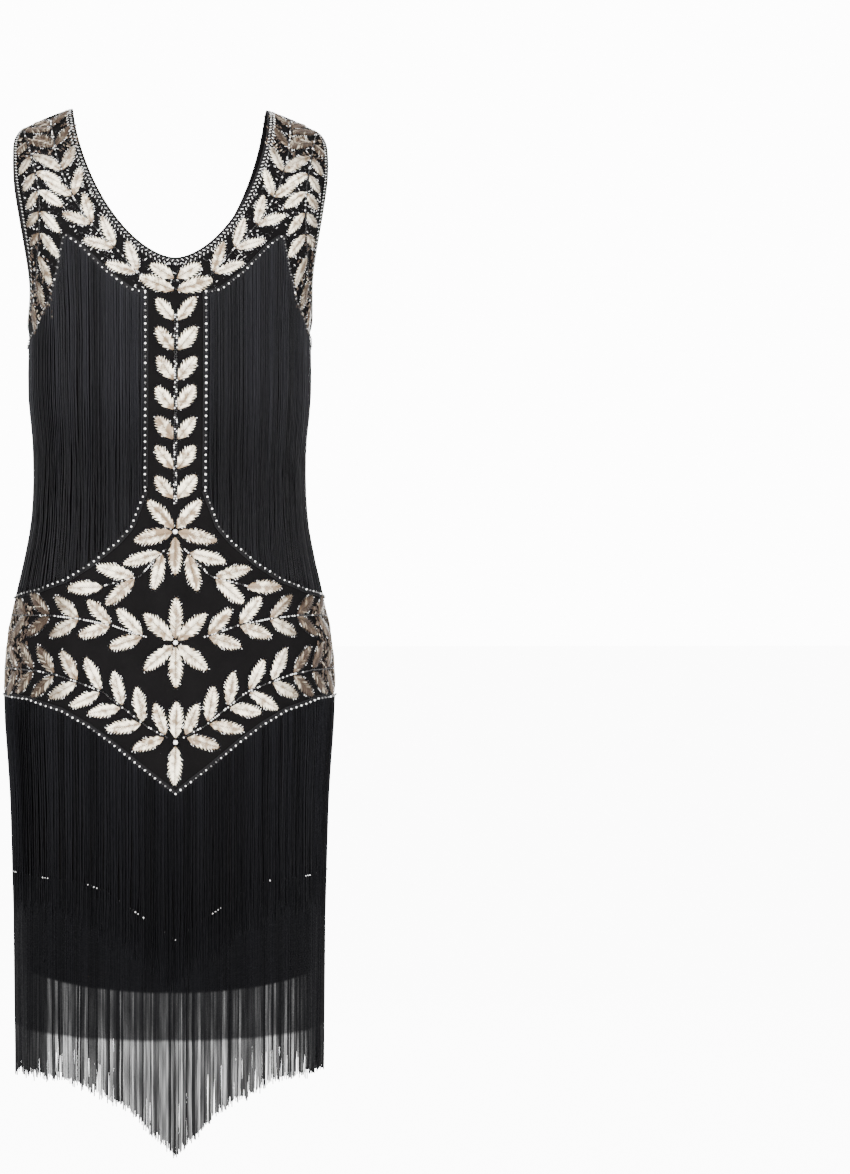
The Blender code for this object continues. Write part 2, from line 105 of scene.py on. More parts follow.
# Lines on one half of a side: frontal distance from the centre, drop
lines = {
    "bodiceFringe": [(0.0300, 0.2015), (0.0456, 0.1975), (0.0690, 0.1785), (0.0955, 0.1505),
                     (0.1090, 0.1400), (0.1150, 0.1730), (0.1225, 0.2040), (0.1348, 0.2320),
                     (0.1433, 0.2480)],
    "columnEdge": [(0.0300, 0.2000), (0.0300, 0.3940)],
    "hipTop": [(0.0295, 0.3975), (0.0365, 0.4150), (0.0430, 0.4330), (0.0570, 0.4490),
               (0.0820, 0.4700), (0.1070, 0.4860), (0.1340, 0.4965), (0.1570, 0.5050)],
    "hipBottom": [(0.0000, 0.6990), (0.0360, 0.6710), (0.0640, 0.6480), (0.0860, 0.6320),
                  (0.1120, 0.6170), (0.1450, 0.6060), (0.1680, 0.6030)],
    "lowerTier": [(0.0000, 0.8440), (0.0134, 0.8340), (0.0690, 0.7960), (0.0930, 0.7870),
                  (0.1500, 0.7830), (0.1590, 0.7830)],
    "fringeHem": [(0.0000, 1.0580), (0.0453, 1.0120), (0.0980, 0.9860), (0.1570, 0.9780)],
}


def smoothRows(x, y):  # a smooth curve through rows, which never overshoots them
    x, y = np.asarray(x, float), np.asarray(y, float)
    step = np.diff(x)
    rise = np.diff(y) / step
    slope = np.zeros(len(x))
    slope[0], slope[-1] = rise[0], rise[-1]
    for i in range(1, len(x) - 1):
        if rise[i - 1] * rise[i] > 0:
            before, after = 2 * step[i] + step[i - 1], step[i] + 2 * step[i - 1]
            slope[i] = (before + after) / (before / rise[i - 1] + after / rise[i])

    def curve(at):
        at = np.clip(at, x[0], x[-1])
        i = np.clip(np.searchsorted(x, at, side="right") - 1, 0, len(x) - 2)
        t = (at - x[i]) / step[i]
        ends = (1 + 2 * t) * (1 - t) ** 2 * y[i] + t * t * (3 - 2 * t) * y[i + 1]
        bends = t * (1 - t) ** 2 * slope[i] + t * t * (t - 1) * slope[i + 1]
        return ends + step[i] * bends

    return curve


def runLength(points):  # how far along a run each of its points lies
    return np.concatenate([[0], np.cumsum(np.hypot(*np.diff(points, axis=0).T))])


class BodySide:  # the smooth form of the front or the back, measured across and down
    rows = 420
    columns = 160
    ringPoints = 400

    def __init__(self, facing, depths):
        self.facing = facing
        self.width = smoothRows(sections[:, 0], sections[:, 1])
        self.arm = smoothRows(armhole[:, 0], armhole[:, 1])
        self.drops = sections[-1, 0] * np.linspace(0, 1, self.rows) ** 2
        profile = smoothRows(sections[:, 0], depths)(self.drops)
        self.downs = runLength(np.stack([self.drops, profile], 1))
        turn = np.linspace(0, math.pi / 2, self.ringPoints)
        power = 2 / cut["ringRound"]
        self.grid = np.zeros((self.rows, self.columns, 3))
        self.reaches = np.zeros(self.rows)
        for i, drop in enumerate(self.drops):
            x = self.width(drop) * np.sin(turn) ** power
            y = profile[i] * np.cos(turn).clip(0) ** power
            length = runLength(np.stack([x, y], 1))
            self.reaches[i] = length[-1]
            at = np.linspace(0, length[-1], self.columns)
            x, y = np.interp(at, length, x), np.interp(at, length, y)
            slope = np.clip((x - cut["fallStart"]) / cut["fallRun"], 0, 1) ** cut["fallCurve"]
            fall = cut["shoulderFall"] * slope * max(0, 1 - drop / cut["fallFades"])
            self.grid[i] = np.stack([x, facing * (y + cut["seam"] / 2), -drop - fall], 1)
        right = np.gradient(self.grid, axis=1)
        below = np.gradient(self.grid, axis=0)
        self.normals = np.cross(right, -below) * -facing
        self.normals[:, -1, 1] = 0
        self.normals[:, 0, 0] = 0
        self.normals[0, :, 1] = 0
        self.normals /= np.linalg.norm(self.normals, axis=2, keepdims=True)

    def down(self, drop):
        return np.interp(drop, self.drops, self.downs)

    def reach(self, down):
        return np.interp(down, self.downs, self.reaches)

    def place(self, half, drop):  # a frontal place as across, down
        row = np.interp(drop, self.drops, np.arange(self.rows))
        low = min(int(row), self.rows - 2)
        above, below = self.grid[low:low + 2, :, 0]
        x = above + (below - above) * (row - low)
        down = float(self.down(drop))
        return float(np.interp(half, x, np.linspace(0, 1, self.columns))) * self.reach(down), down

    def route(self, places):  # the same for every place of a run
        return np.array([self.place(*place) for place in places])

    def within(self, across, down, inset=0.0):  # kept between the side seams
        limit = self.reach(down) - inset
        return np.clip(across, -limit, limit)

    def spots(self, across, down, out=0.0):  # points on the cloth, and their normals
        across, down = np.asarray(across, float), np.asarray(down, float)
        share = np.clip(np.abs(across) / self.reach(down), 0, 1) * (self.columns - 1)
        row = np.interp(down, self.downs, np.arange(self.rows))
        i = np.clip(row.astype(int), 0, self.rows - 2)
        j = np.clip(share.astype(int), 0, self.columns - 2)
        a, b = (row - i)[..., None], (share - j)[..., None]

        def blend(table):
            top = table[i, j] * (1 - b) + table[i, j + 1] * b
            return top * (1 - a) + (table[i + 1, j] * (1 - b) + table[i + 1, j + 1] * b) * a

        here, normal = blend(self.grid), blend(self.normals)
        sign = np.where(across < 0, -1.0, 1.0)
        here[..., 0] *= sign
        normal[..., 0] *= sign
        normal /= np.linalg.norm(normal, axis=-1, keepdims=True)
        lift = np.asarray(out, float) + self.creases(across, down)
        return here + normal * lift[..., None], normal

    def creases(self, across, down):  # soft troughs and ridges in the worn cloth
        total = np.zeros(np.broadcast(across, down).shape)
        for middle, level, turn, length, width, depth in creaseRows[self.facing]:
            turn = math.radians(turn)
            x, y = across - middle, down - level
            along = x * math.cos(turn) + y * math.sin(turn)
            aside = y * math.cos(turn) - x * math.sin(turn)
            total += depth * np.exp(-(along / length) ** 2 - (aside / width) ** 2)
        flare = np.clip((down - hemFlutes["from"]) / hemFlutes["run"], 0, 1) ** 2
        phase = across / hemFlutes["pitch"] * 2 * math.pi + self.facing
        share, pace, shift = hemFlutes["second"]
        wave = np.sin(phase) + share * np.sin(phase * pace + shift)
        # the side seams stay put, so that the front and the back meet
        still = np.clip((self.reach(down) - np.abs(across)) / hemFlutes["still"], 0, 1)
        return (total + hemFlutes["depth"] * wave * flare) * still


# across, down, turn in degrees, length, width, depth (a trough is below 0)
creaseRows = {
    -1: [
        (-0.145, 0.400, 12, 0.050, 0.009, -0.0014),
        (0.150, 0.415, -16, 0.042, 0.008, -0.0012),
        (-0.150, 0.452, 6, 0.036, 0.010, 0.0010),
        (0.145, 0.372, -8, 0.045, 0.010, 0.0011),
        (-0.110, 0.262, 58, 0.034, 0.009, -0.0012),
        (0.118, 0.270, -52, 0.030, 0.008, -0.0010),
        (-0.060, 0.660, 30, 0.050, 0.014, 0.0009),
        (0.085, 0.668, -22, 0.044, 0.012, -0.0009),
    ],
    1: [
        (-0.130, 0.395, 9, 0.056, 0.010, -0.0015),
        (0.140, 0.380, -12, 0.040, 0.009, -0.0012),
        (0.120, 0.425, -5, 0.048, 0.011, 0.0011),
        (-0.105, 0.430, 14, 0.034, 0.009, 0.0009),
        (0.100, 0.250, -60, 0.036, 0.010, -0.0011),
        (-0.112, 0.240, 55, 0.028, 0.008, -0.0010),
        (0.070, 0.680, -28, 0.046, 0.013, 0.0009),
    ],
}
# the hem's soft waves, with a second wave on them (its share, pace and shift)
hemFlutes = {"from": 0.80, "run": 0.20, "pitch": 0.058, "depth": 0.0016,
             "second": (0.5, 1.7, 1.3), "still": 0.03}

sides = {
    "front": BodySide(-1, sections[:, 2]),
    "back": BodySide(1, sections[:, 3]),
}
print("form ready")


# Node trees

def mathsNode(operation, swapped=False):  # an operator for wires
    def apply(wire, other=0.0):
        first, second = (other, wire) if swapped else (wire, other)
        return wire.board.put("ShaderNodeMath", {0: first, 1: second}, operation=operation)

    return apply


class Wire:  # a socket that can stand in a sum
    def __init__(self, board, socket):
        self.board = board
        self.socket = socket

    __add__ = __radd__ = mathsNode("ADD")
    __sub__ = mathsNode("SUBTRACT")
    __rsub__ = mathsNode("SUBTRACT", swapped=True)
    __mul__ = __rmul__ = mathsNode("MULTIPLY")
    __gt__ = mathsNode("GREATER_THAN")
    __abs__ = mathsNode("ABSOLUTE")
    sine = mathsNode("SINE")
    larger = mathsNode("MAXIMUM")


class Board:  # one node tree, and the nodes put on it
    def __init__(self, tree):
        self.tree = tree

    def put(self, kind, sockets=None, out=0, **settings):
        node = self.tree.nodes.new(kind)
        for name, value in settings.items():
            setattr(node, name, value)
        for name, value in (sockets or {}).items():
            if isinstance(value, Wire):
                self.tree.links.new(value.socket, node.inputs[name])
            else:
                node.inputs[name].default_value = value
        return Wire(self, node.outputs[out])

    def mix(self, share, first, second):
        return self.put("ShaderNodeMix", {0: share, 6: first, 7: second}, 2, data_type="RGBA")

    def attribute(self, name):
        return self.put("ShaderNodeAttribute", None, 2, attribute_name=name)

    def noise(self, scale, detail=3.0):
        place = self.put("ShaderNodeTexCoord", None, 3)
        return self.put("ShaderNodeTexNoise", {"Vector": place, "Scale": scale,
                                               "Detail": detail, "Roughness": 0.55})

    def bump(self, height, strength, distance):
        return self.put("ShaderNodeBump", {"Height": height, "Strength": strength,
                                           "Distance": distance})

    def weave(self):  # the two directions of a cloth's own measure
        split = self.put("ShaderNodeSeparateXYZ", {0: self.put("ShaderNodeUVMap", uv_map="cloth")})
        return split, Wire(self, split.socket.node.outputs[1])

    def feed(self, **wires):  # into the shader of a material's board
        names = {"colour": "Base Color", "roughness": "Roughness", "alpha": "Alpha",
                 "normal": "Normal", "metallic": "Metallic", "coat": "Coat Weight"}
        for name, wire in wires.items():
            self.tree.links.new(wire.socket, self.shader.inputs[names[name]])
        return self.material


def newMaterial(name, constants):
    material = bpy.data.materials.new(name)
    material.use_nodes = True
    board = Board(material.node_tree)
    board.material = material
    board.shader = board.tree.nodes["Principled BSDF"]
    for socket, value in constants.items():
        board.shader.inputs[socket].default_value = value
    return board


def netMaterial():
    look = {"cell": 0.0017, "opening": 0.22, "patches": 38.0,
            "ground": (0.0010, 0.0009, 0.0010, 1), "worn": (0.0030, 0.0027, 0.0028, 1)}
    board = newMaterial("beadedNet", {"Specular IOR Level": 0.03})
    u, v = board.weave()
    turn = math.pi / look["cell"]
    first = abs(((u + v) * turn).sine())
    second = abs(((u - v) * turn).sine())
    web = first.larger(second)
    holes = 1 - (web > look["opening"])
    colour = board.mix(board.noise(look["patches"]), look["ground"], look["worn"])
    return board.feed(colour=colour, alpha=1 - holes * board.attribute("sheer"),
                      roughness=0.72 + holes * 0.12, normal=board.bump(web, 0.5, 0.0003))


def liningMaterial():
    look = {"wale": 0.0009, "course": 0.0012, "patches": 26.0,
            "dark": (0.0014, 0.0014, 0.0017, 1), "worn": (0.0034, 0.0033, 0.0038, 1)}
    board = newMaterial("liningJersey", {"Specular IOR Level": 0.05})
    u, v = board.weave()
    wales = abs((u * (math.pi / look["wale"])).sine()) * 0.6
    knit = wales + abs((v * (math.pi / look["course"])).sine()) * 0.4
    colour = board.mix(board.noise(look["patches"]), look["dark"], look["worn"])
    return board.feed(colour=colour, roughness=0.62 + knit * 0.1,
                      normal=board.bump(knit, 0.35, 0.0002))


def threadMaterial(name, look):
    board = newMaterial(name, {"Specular IOR Level": look["gloss"]})
    tone = board.attribute("tone")
    twist = (board.attribute("run") * look["twist"]).sine()
    colour = board.mix(tone, look["dark"], look["light"])
    if "pale" in look:  # painted backlight: lighter below the lining's hem, and more so below the net's, as if light came through the strands
        below = [board.put("ShaderNodeMath", {0: board.attribute(hem), 1: rate},
                           operation="MULTIPLY", use_clamp=True)
                 for hem, rate in (("pastLining", 500.0), ("pastNet", 300.0))]
        share = below[0] * look["sheer"] + below[1] * (1 - look["sheer"])
        colour = board.mix(share * board.attribute("paintedGlow"), colour, look["pale"])
    return board.feed(colour=colour, roughness=0.44 + tone * 0.14,
                      normal=board.bump(twist, 0.4, 0.0002))


def leafMaterial():
    look = {"ivory": (0.98, 0.88, 0.68, 1), "champagne": (0.20, 0.132, 0.072, 1),
            "bronze": (0.034, 0.019, 0.010, 1), "middle": 0.44, "contrast": 3.5, "rib": 0.7}
    board = newMaterial("leafBugles", {"Coat Roughness": 0.12})
    speck = board.noise(900.0, detail=1.0)
    cloud = (board.noise(170.0, detail=2.0) - look["middle"]) * look["contrast"]
    # darker along the rib, where a bugle starts, than at the edge, where it ends
    tone = board.attribute("tone") + cloud + (0.5 - board.attribute("end")) * look["rib"]
    # painted shade: bronze mixed in where the sequins turn away from the front, at the side seams
    # and on the shoulder tops
    paintedShade = board.attribute("paintedShade")
    colour = board.mix(tone, look["ivory"], look["champagne"])
    colour = board.mix(paintedShade, colour, look["bronze"])
    return board.feed(colour=colour, roughness=0.26 + speck * 0.2,
                      metallic=0.08 + paintedShade * 0.5, coat=0.6 - paintedShade * 0.5,
                      normal=board.bump(speck, 0.25, 0.0002))


def beadMaterial():
    look = {"jet": (0.0028, 0.0026, 0.0029, 1), "silver": (0.93, 0.92, 0.90, 1)}
    board = newMaterial("silverBeads", {"Coat Weight": 0.35, "Coat Roughness": 0.06,
                                        "Specular IOR Level": 0.3})
    tone = board.attribute("tone")
    glint = board.noise(700.0, detail=1.0)
    return board.feed(colour=board.mix(tone, look["jet"], look["silver"]),
                      metallic=tone * 0.4, roughness=0.18 + glint * 0.18,
                      normal=board.bump(glint, 0.2, 0.0002))


def bindingMaterial():
    look = {"dark": (0.0018, 0.0018, 0.0022, 1), "worn": (0.0055, 0.0052, 0.0056, 1)}
    board = newMaterial("edgeBinding", {"Specular IOR Level": 0.08})
    grain = board.noise(1400.0, detail=1.0)
    return board.feed(colour=board.mix(board.noise(60.0), look["dark"], look["worn"]),
                      roughness=0.6 + grain * 0.15, normal=board.bump(grain, 0.4, 0.0003))


materials = {
    "net": netMaterial(),
    "lining": liningMaterial(),
    "bodiceThread": threadMaterial("bodiceThread", {
        "dark": (0.0007, 0.0007, 0.0011, 1), "light": (0.0078, 0.0078, 0.0098, 1),
        "gloss": 0.10, "twist": 2600.0}),
    "skirtThread": threadMaterial("skirtThread", {
        "dark": (0.0005, 0.0005, 0.0008, 1), "light": (0.0045, 0.0045, 0.0057, 1),
        # pale is the colour of the painted backlight that lightens the skirt's threads below the
        # hems
        "gloss": 0.05, "twist": 2600.0, "pale": (0.25, 0.25, 0.25, 1), "sheer": 0.150}),
    "leaf": leafMaterial(),
    "bead": beadMaterial(),
    "binding": bindingMaterial(),
}
print("materials ready")


# Geometry Nodes for what repeats and what follows a path

def newTree(name, inputs):  # a tree with named inputs, and these as wires
    tree = bpy.data.node_groups.new(name, "GeometryNodeTree")
    tree.interface.new_socket("Geometry", in_out="INPUT", socket_type="NodeSocketGeometry")
    for label, kind in inputs:
        tree.interface.new_socket(label, in_out="INPUT", socket_type=kind)
    tree.interface.new_socket("Geometry", in_out="OUTPUT", socket_type="NodeSocketGeometry")
    board = Board(tree)
    start = tree.nodes.new("NodeGroupInput")
    return board, {socket.name: Wire(board, socket) for socket in start.outputs if socket.name}


def endTree(board, geometry, given):  # plain geometry with its material, as the export needs
    done = board.put("GeometryNodeRealizeInstances", {"Geometry": geometry})
    done = board.put("GeometryNodeSetMaterial", {"Geometry": done, "Material": given["Material"]})
    end = board.tree.nodes.new("NodeGroupOutput")
    board.tree.links.new(done.socket, end.inputs[0])
    return board.tree


def beadTree():  # one bead at every point, turned and sized by the point's own attributes
    board, given = newTree("sewBeads", [("Bead", "NodeSocketObject"),
                                        ("Material", "NodeSocketMaterial")])
    bead = board.put("GeometryNodeObjectInfo", {"Object": given["Bead"]}, 4)
    turn, size = (board.put("GeometryNodeInputNamedAttribute", {"Name": name},
                            data_type="FLOAT_VECTOR") for name in ("turn", "size"))
    turn = board.put("FunctionNodeEulerToRotation", {0: turn})
    sewn = board.put("GeometryNodeInstanceOnPoints", {"Points": given["Geometry"],
                                                      "Instance": bead, "Rotation": turn,
                                                      "Scale": size})
    return endTree(board, sewn, given)


def cordTree():  # a round cord along every run of edges
    board, given = newTree("layCords", [("Sides", "NodeSocketInt"), ("Radius", "NodeSocketFloat"),
                                        ("Material", "NodeSocketMaterial")])
    run = board.put("GeometryNodeMeshToCurve", {"Mesh": given["Geometry"]})
    profile = board.put("GeometryNodeCurvePrimitiveCircle", {"Resolution": given["Sides"],
                                                             "Radius": given["Radius"]})
    solid = board.put("GeometryNodeCurveToMesh", {"Curve": run, "Profile Curve": profile,
                                                  "Fill Caps": True})
    return endTree(board, board.put("GeometryNodeSetShadeSmooth", {"Geometry": solid}), given)


trees = {"beads": beadTree(), "cords": cordTree()}


def showPiece(mesh, name):
    piece = bpy.data.objects.new(name, mesh)
    bpy.context.scene.collection.objects.link(piece)
    return piece


def plainResult(maker, name):  # what an object's modifier makes, as a mesh of its own
    bpy.context.view_layer.update()
    view = bpy.context.evaluated_depsgraph_get()
    result = bpy.data.meshes.new_from_object(maker.evaluated_get(view))
    bpy.data.objects.remove(maker)
    result.name = name
    return result


def grow(mesh, tree, values, name):  # runs a tree on a mesh and keeps the plain result
    maker = showPiece(mesh, name + "Maker")
    modifier = maker.modifiers.new("grow", "NODES")
    modifier.node_group = tree
    for item in tree.interface.items_tree:
        if item.item_type == "SOCKET" and item.in_out == "INPUT" and item.name in values:
            modifier[item.identifier] = values[item.name]
    maker.update_tag()
    return plainResult(maker, name)


def newMesh(name, verts, edges=(), faces=()):
    mesh = bpy.data.meshes.new(name)
    mesh.from_pydata(np.reshape(verts, (-1, 3)).tolist(), edges, faces)
    return mesh


def ringFaces(start, rings, corners):  # a closed tube of rings, from its first vertex on
    faces = []
    for a in range(start, start + corners * (rings - 1), corners):
        for c in range(corners):
            d = (c + 1) % corners
            faces.append((a + c, a + d, a + corners + d, a + corners + c))
    end = start + corners * (rings - 1)
    return faces + [tuple(range(start, start + corners))[::-1], tuple(range(end, end + corners))]


def putAttribute(mesh, name, values, kind="FLOAT"):
    attribute = mesh.attributes.new(name, kind, "POINT")
    values = np.asarray(values, dtype=np.float32).ravel()
    attribute.data.foreach_set("vector" if kind == "FLOAT_VECTOR" else "value", values)


def declare(piece, slot, *nodes):  # all cloth is on one body; nodes are what it stands for
    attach(piece, "root")
    if nodes:
        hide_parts(*nodes)


# Cloth

flatReach = 0.22  # width of a half ring in the flat pattern


def toFlat(side, across, down):  # a spot's place in the flat pattern
    return np.stack([across / side.reach(down) * flatReach, -np.asarray(down)], -1)


def fromFlat(side, flat):
    down = np.maximum(-flat[:, 1], 0)
    return flat[:, 0] / flatReach * side.reach(down), down


def evenly(points, step):  # the same run, with points about a step apart
    length = runLength(points)
    at = np.linspace(0, length[-1], max(2, round(length[-1] / step) + 1))
    return np.stack([np.interp(at, length, column) for column in np.transpose(points)], 1)


def neckEdge(side):  # from the bottom of the scoop to the shoulder, as across, down
    power = 2 / cut["neckRound"]
    return side.route([(cut["neckHalf"] * math.sin(turn) ** power,
                        cut["neckDepth"] * max(math.cos(turn), 0) ** power)
                       for turn in np.linspace(0, math.pi / 2, cut["edgePoints"])])


def armEdge(side):  # from the shoulder to the side seam
    places = []
    for turn in np.linspace(0, math.pi, cut["edgePoints"]):
        drop = cut["underarm"] * (1 - math.cos(turn)) / 2
        share = float(side.arm(drop))
        half = float(side.width(drop)) * (1 - share ** cut["ringRound"]) ** (1 / cut["ringRound"])
        places.append((half, drop))
    return side.route(places)


def hemEdge(hem, rise, step):  # from the side seam to the centre, a little higher at the side
    shares = np.linspace(1, 0, 24)
    return evenly([(flatReach * share, hem + rise * share ** 2) for share in shares], step)


def mirrored(half):  # the right half of an outline, and the left half after it
    return np.concatenate([half, half[1:-1][::-1] * (-1, 1)])


def panelOutline(side):  # the net's cut, in the flat pattern
    step = cut["edgeStep"]
    hem = hemEdge(-side.down(cut["netHem"]), cut["netRise"], step)
    neck = evenly(toFlat(side, *neckEdge(side).T), step)
    arm = evenly(toFlat(side, *armEdge(side).T), step)
    arm[-1, 0] = flatReach
    runs = [neck, evenly([neck[-1], arm[0]], step), arm, evenly([arm[-1], hem[0]], step), hem]
    return mirrored(np.concatenate([run[:-1] for run in runs] + [runs[-1][-1:]]))


def liningOutline(side):
    top, step = -side.down(cut["liningTop"]), cut["gridStep"]
    hem = hemEdge(-side.down(cut["liningHem"]), cut["liningRise"], step)
    return mirrored(np.concatenate([evenly([(0, top), (flatReach, top)], step)[:-1],
                                    evenly([(flatReach, top), hem[0]], step)[:-1], hem]))


def insideOf(points, outline):  # which points lie within an outline
    inside = np.zeros(len(points), bool)
    x, y = points.T
    for (ax, ay), (bx, by) in zip(outline, np.roll(outline, -1, 0)):
        if ay != by:
            crosses = (ay > y) != (by > y)
            inside ^= crosses & (x < ax + (y - ay) / (by - ay) * (bx - ax))
    return inside


def clearOf(points, outline, gap):  # which points lie further than a gap from an outline
    keep = np.ones(len(points), bool)
    for spot in outline:
        keep &= np.hypot(*(points - spot).T) > gap
    return keep


def clothMesh(name, side, outline, out, sheerFrom):  # a layer, cut flat and laid on the form
    step = cut["gridStep"]
    axes = [np.linspace(low, high, round((high - low) / step) + 1)
            for low, high in zip(outline.min(0), outline.max(0))]
    points = np.stack(np.meshgrid(*axes), -1).reshape(-1, 2)
    points = points[insideOf(points, outline)]
    points = points[clearOf(points, outline, step * cut["gridClear"])]
    count = len(outline)
    edges = [(i, (i + 1) % count) for i in range(count)]
    flat = [Vector(spot) for spot in np.concatenate([outline, points])]
    flat, _, faces, _, _, _ = delaunay_2d_cdt(flat, edges, [], 0, 1e-7)
    flat = np.array([tuple(spot) for spot in flat])
    faces = np.array([tuple(face) for face in faces])
    faces = faces[insideOf(flat[faces].mean(1), outline)]
    if side.facing > 0:
        faces = faces[:, ::-1]
    across, down = fromFlat(side, flat)
    mesh = newMesh(name, side.spots(across, down, out)[0], faces=faces.tolist())
    uv = mesh.uv_layers.new(name="cloth")
    corners = np.zeros(len(mesh.loops), int)
    mesh.loops.foreach_get("vertex_index", corners)
    uv.data.foreach_set("uv", np.stack([across, down], 1)[corners].astype(np.float32).ravel())
    putAttribute(mesh, "sheer", np.clip((down - sheerFrom) / cut["sheerRun"], 0, 1))
    area = sum(face.area for face in mesh.polygons)
    maker = showPiece(mesh, name + "Maker")
    wall = maker.modifiers.new("wall", "SOLIDIFY")
    wall.thickness = cut["clothThick"]
    wall.offset = -1
    solid = plainResult(maker, name)
    solid.shade_smooth()
    return solid, area


for name, side in sides.items():
    netMesh, netArea = clothMesh(name + "Net", side, panelOutline(side), 0.0,
                                 side.down(cut["liningTop"]) + 0.01)
    netMesh.materials.append(materials["net"])
    netPiece = showPiece(netMesh, name + "Net")
    declare(netPiece, "beaded_net", name + "_panel")

    # the lining is nowhere sheer, so its fade starts far below
    liningMesh, liningArea = clothMesh(name + "Lining", side, liningOutline(side),
                                       -cut["liningInset"], 9.0)
    liningMesh.materials.append(materials["lining"])
    liningPiece = showPiece(liningMesh, name + "Lining")
    declare(liningPiece, "lining_cloth", "lining_" + name)
    print(name, "cloth", round(netArea, 3), round(liningArea, 3))


# Fringe

# What all threads share. Pitches of waves are in radians a metre
threads = {
    "sides": 4,
    "radius": 0.00052,
    "strand": 3,  # neighbours that wave and shine alike
    "clump": 0.013,  # width of a group that gathers
    "wander": 90,  # how soon that width changes from place to place
    "jitter": 0.4,  # of the space between two threads
    "raggedBeside": 1.6,  # how much more ragged the ends are at the side seams
    "rangeOfEnds": 2.2,  # the most that an end is off, in standard deviations
    "swing": (0.5, 1.3),  # how much more one thread waves than another
    "slow": (0.6, 30),  # waves to the side: share and pitch
    "quick": (0.28, 118),  # and quicker ones on them
    "nod": 45,  # waves in and out, below the net
    "nodRun": 0.05,  # how soon they grow
    "streaks": (210, 61, 900),  # lighter and darker stretches of a fringe
    "unevenTone": 0.10,
    "ripple": (0.4, 95),  # along the light that comes through
    "glow": [0.03, 0.15, 0.42, 0.92],  # how much painted light comes through a strand
    "glowShares": [0.22, 0.29, 0.29, 0.20],
    "unevenGlow": (0.75, 1.25),
    "glowSides": (0.90, 0.16, 0.04),  # where it fades near the outline, how soon, and least
    "below": 0.001,  # from the line down to a thread's start
    "inset": 0.0010,  # from the side seams
}

# line and count of threads, knots on each, lifts from the cloth, how far a thread waves and
# how far neighbours gather, ragged ends, tone and the painted shade that darkens it with the
# drop. A lower spread sets the knots closer at the ends
fringes = {
    "bodice": {"line": "bodiceFringe", "finish": "bodiceThread", "count": 190, "knots": 14,
               "lifts": (0.0012, 0.0020, 0.0027), "sway": 0.0013, "gather": 0.0008,
               "ragged": 0.0025, "spread": 0.85, "tone": 0.52,
               "paintedShadeByDrop": ((0.29, 0.36), (1.0, 0.36))},
    "upper": {"line": "hipBottom", "finish": "skirtThread", "count": 430, "knots": 12,
              "lifts": (0.0012, 0.0020, 0.0027), "sway": 0.0014, "gather": 0.0008,
              "ragged": 0.006, "spread": 0.85, "tone": 0.45,
              "paintedShadeByDrop": ((0.68, 0.82), (1.1, 0.35)), "length": 0.190, "sideLength": 0.040},
    "lower": {"line": "lowerTier", "finish": "skirtThread", "count": 820, "knots": 16,
              "lifts": (0.0006, 0.0015), "sway": 0.0005, "gather": 0.0002,
              "ragged": 0.0028, "spread": 0.5, "tone": 0.45,
              "paintedShadeByDrop": ((0.78, 0.82), (0.6, 0.35))},
}


def belowHem(side, layer, across, down):  # how far below a layer's hem a spot lies
    share = across / side.reach(down)
    return down - side.down(cut[layer + "Hem"]) + cut[layer + "Rise"] * share ** 2


def levelOf(side, name):  # a line as down for any across
    spots = np.array(sorted(side.place(*place) for place in lines[name]))
    return lambda across: np.interp(np.abs(across), *spots.T)


def hangingAcross(side, root, rootDown, down):  # a thread hangs straight as the body narrows
    reach = side.reach(rootDown)
    pull = (np.abs(root) / reach) ** 1.5
    return root * (1 + pull * (side.reach(down) / reach - 1))


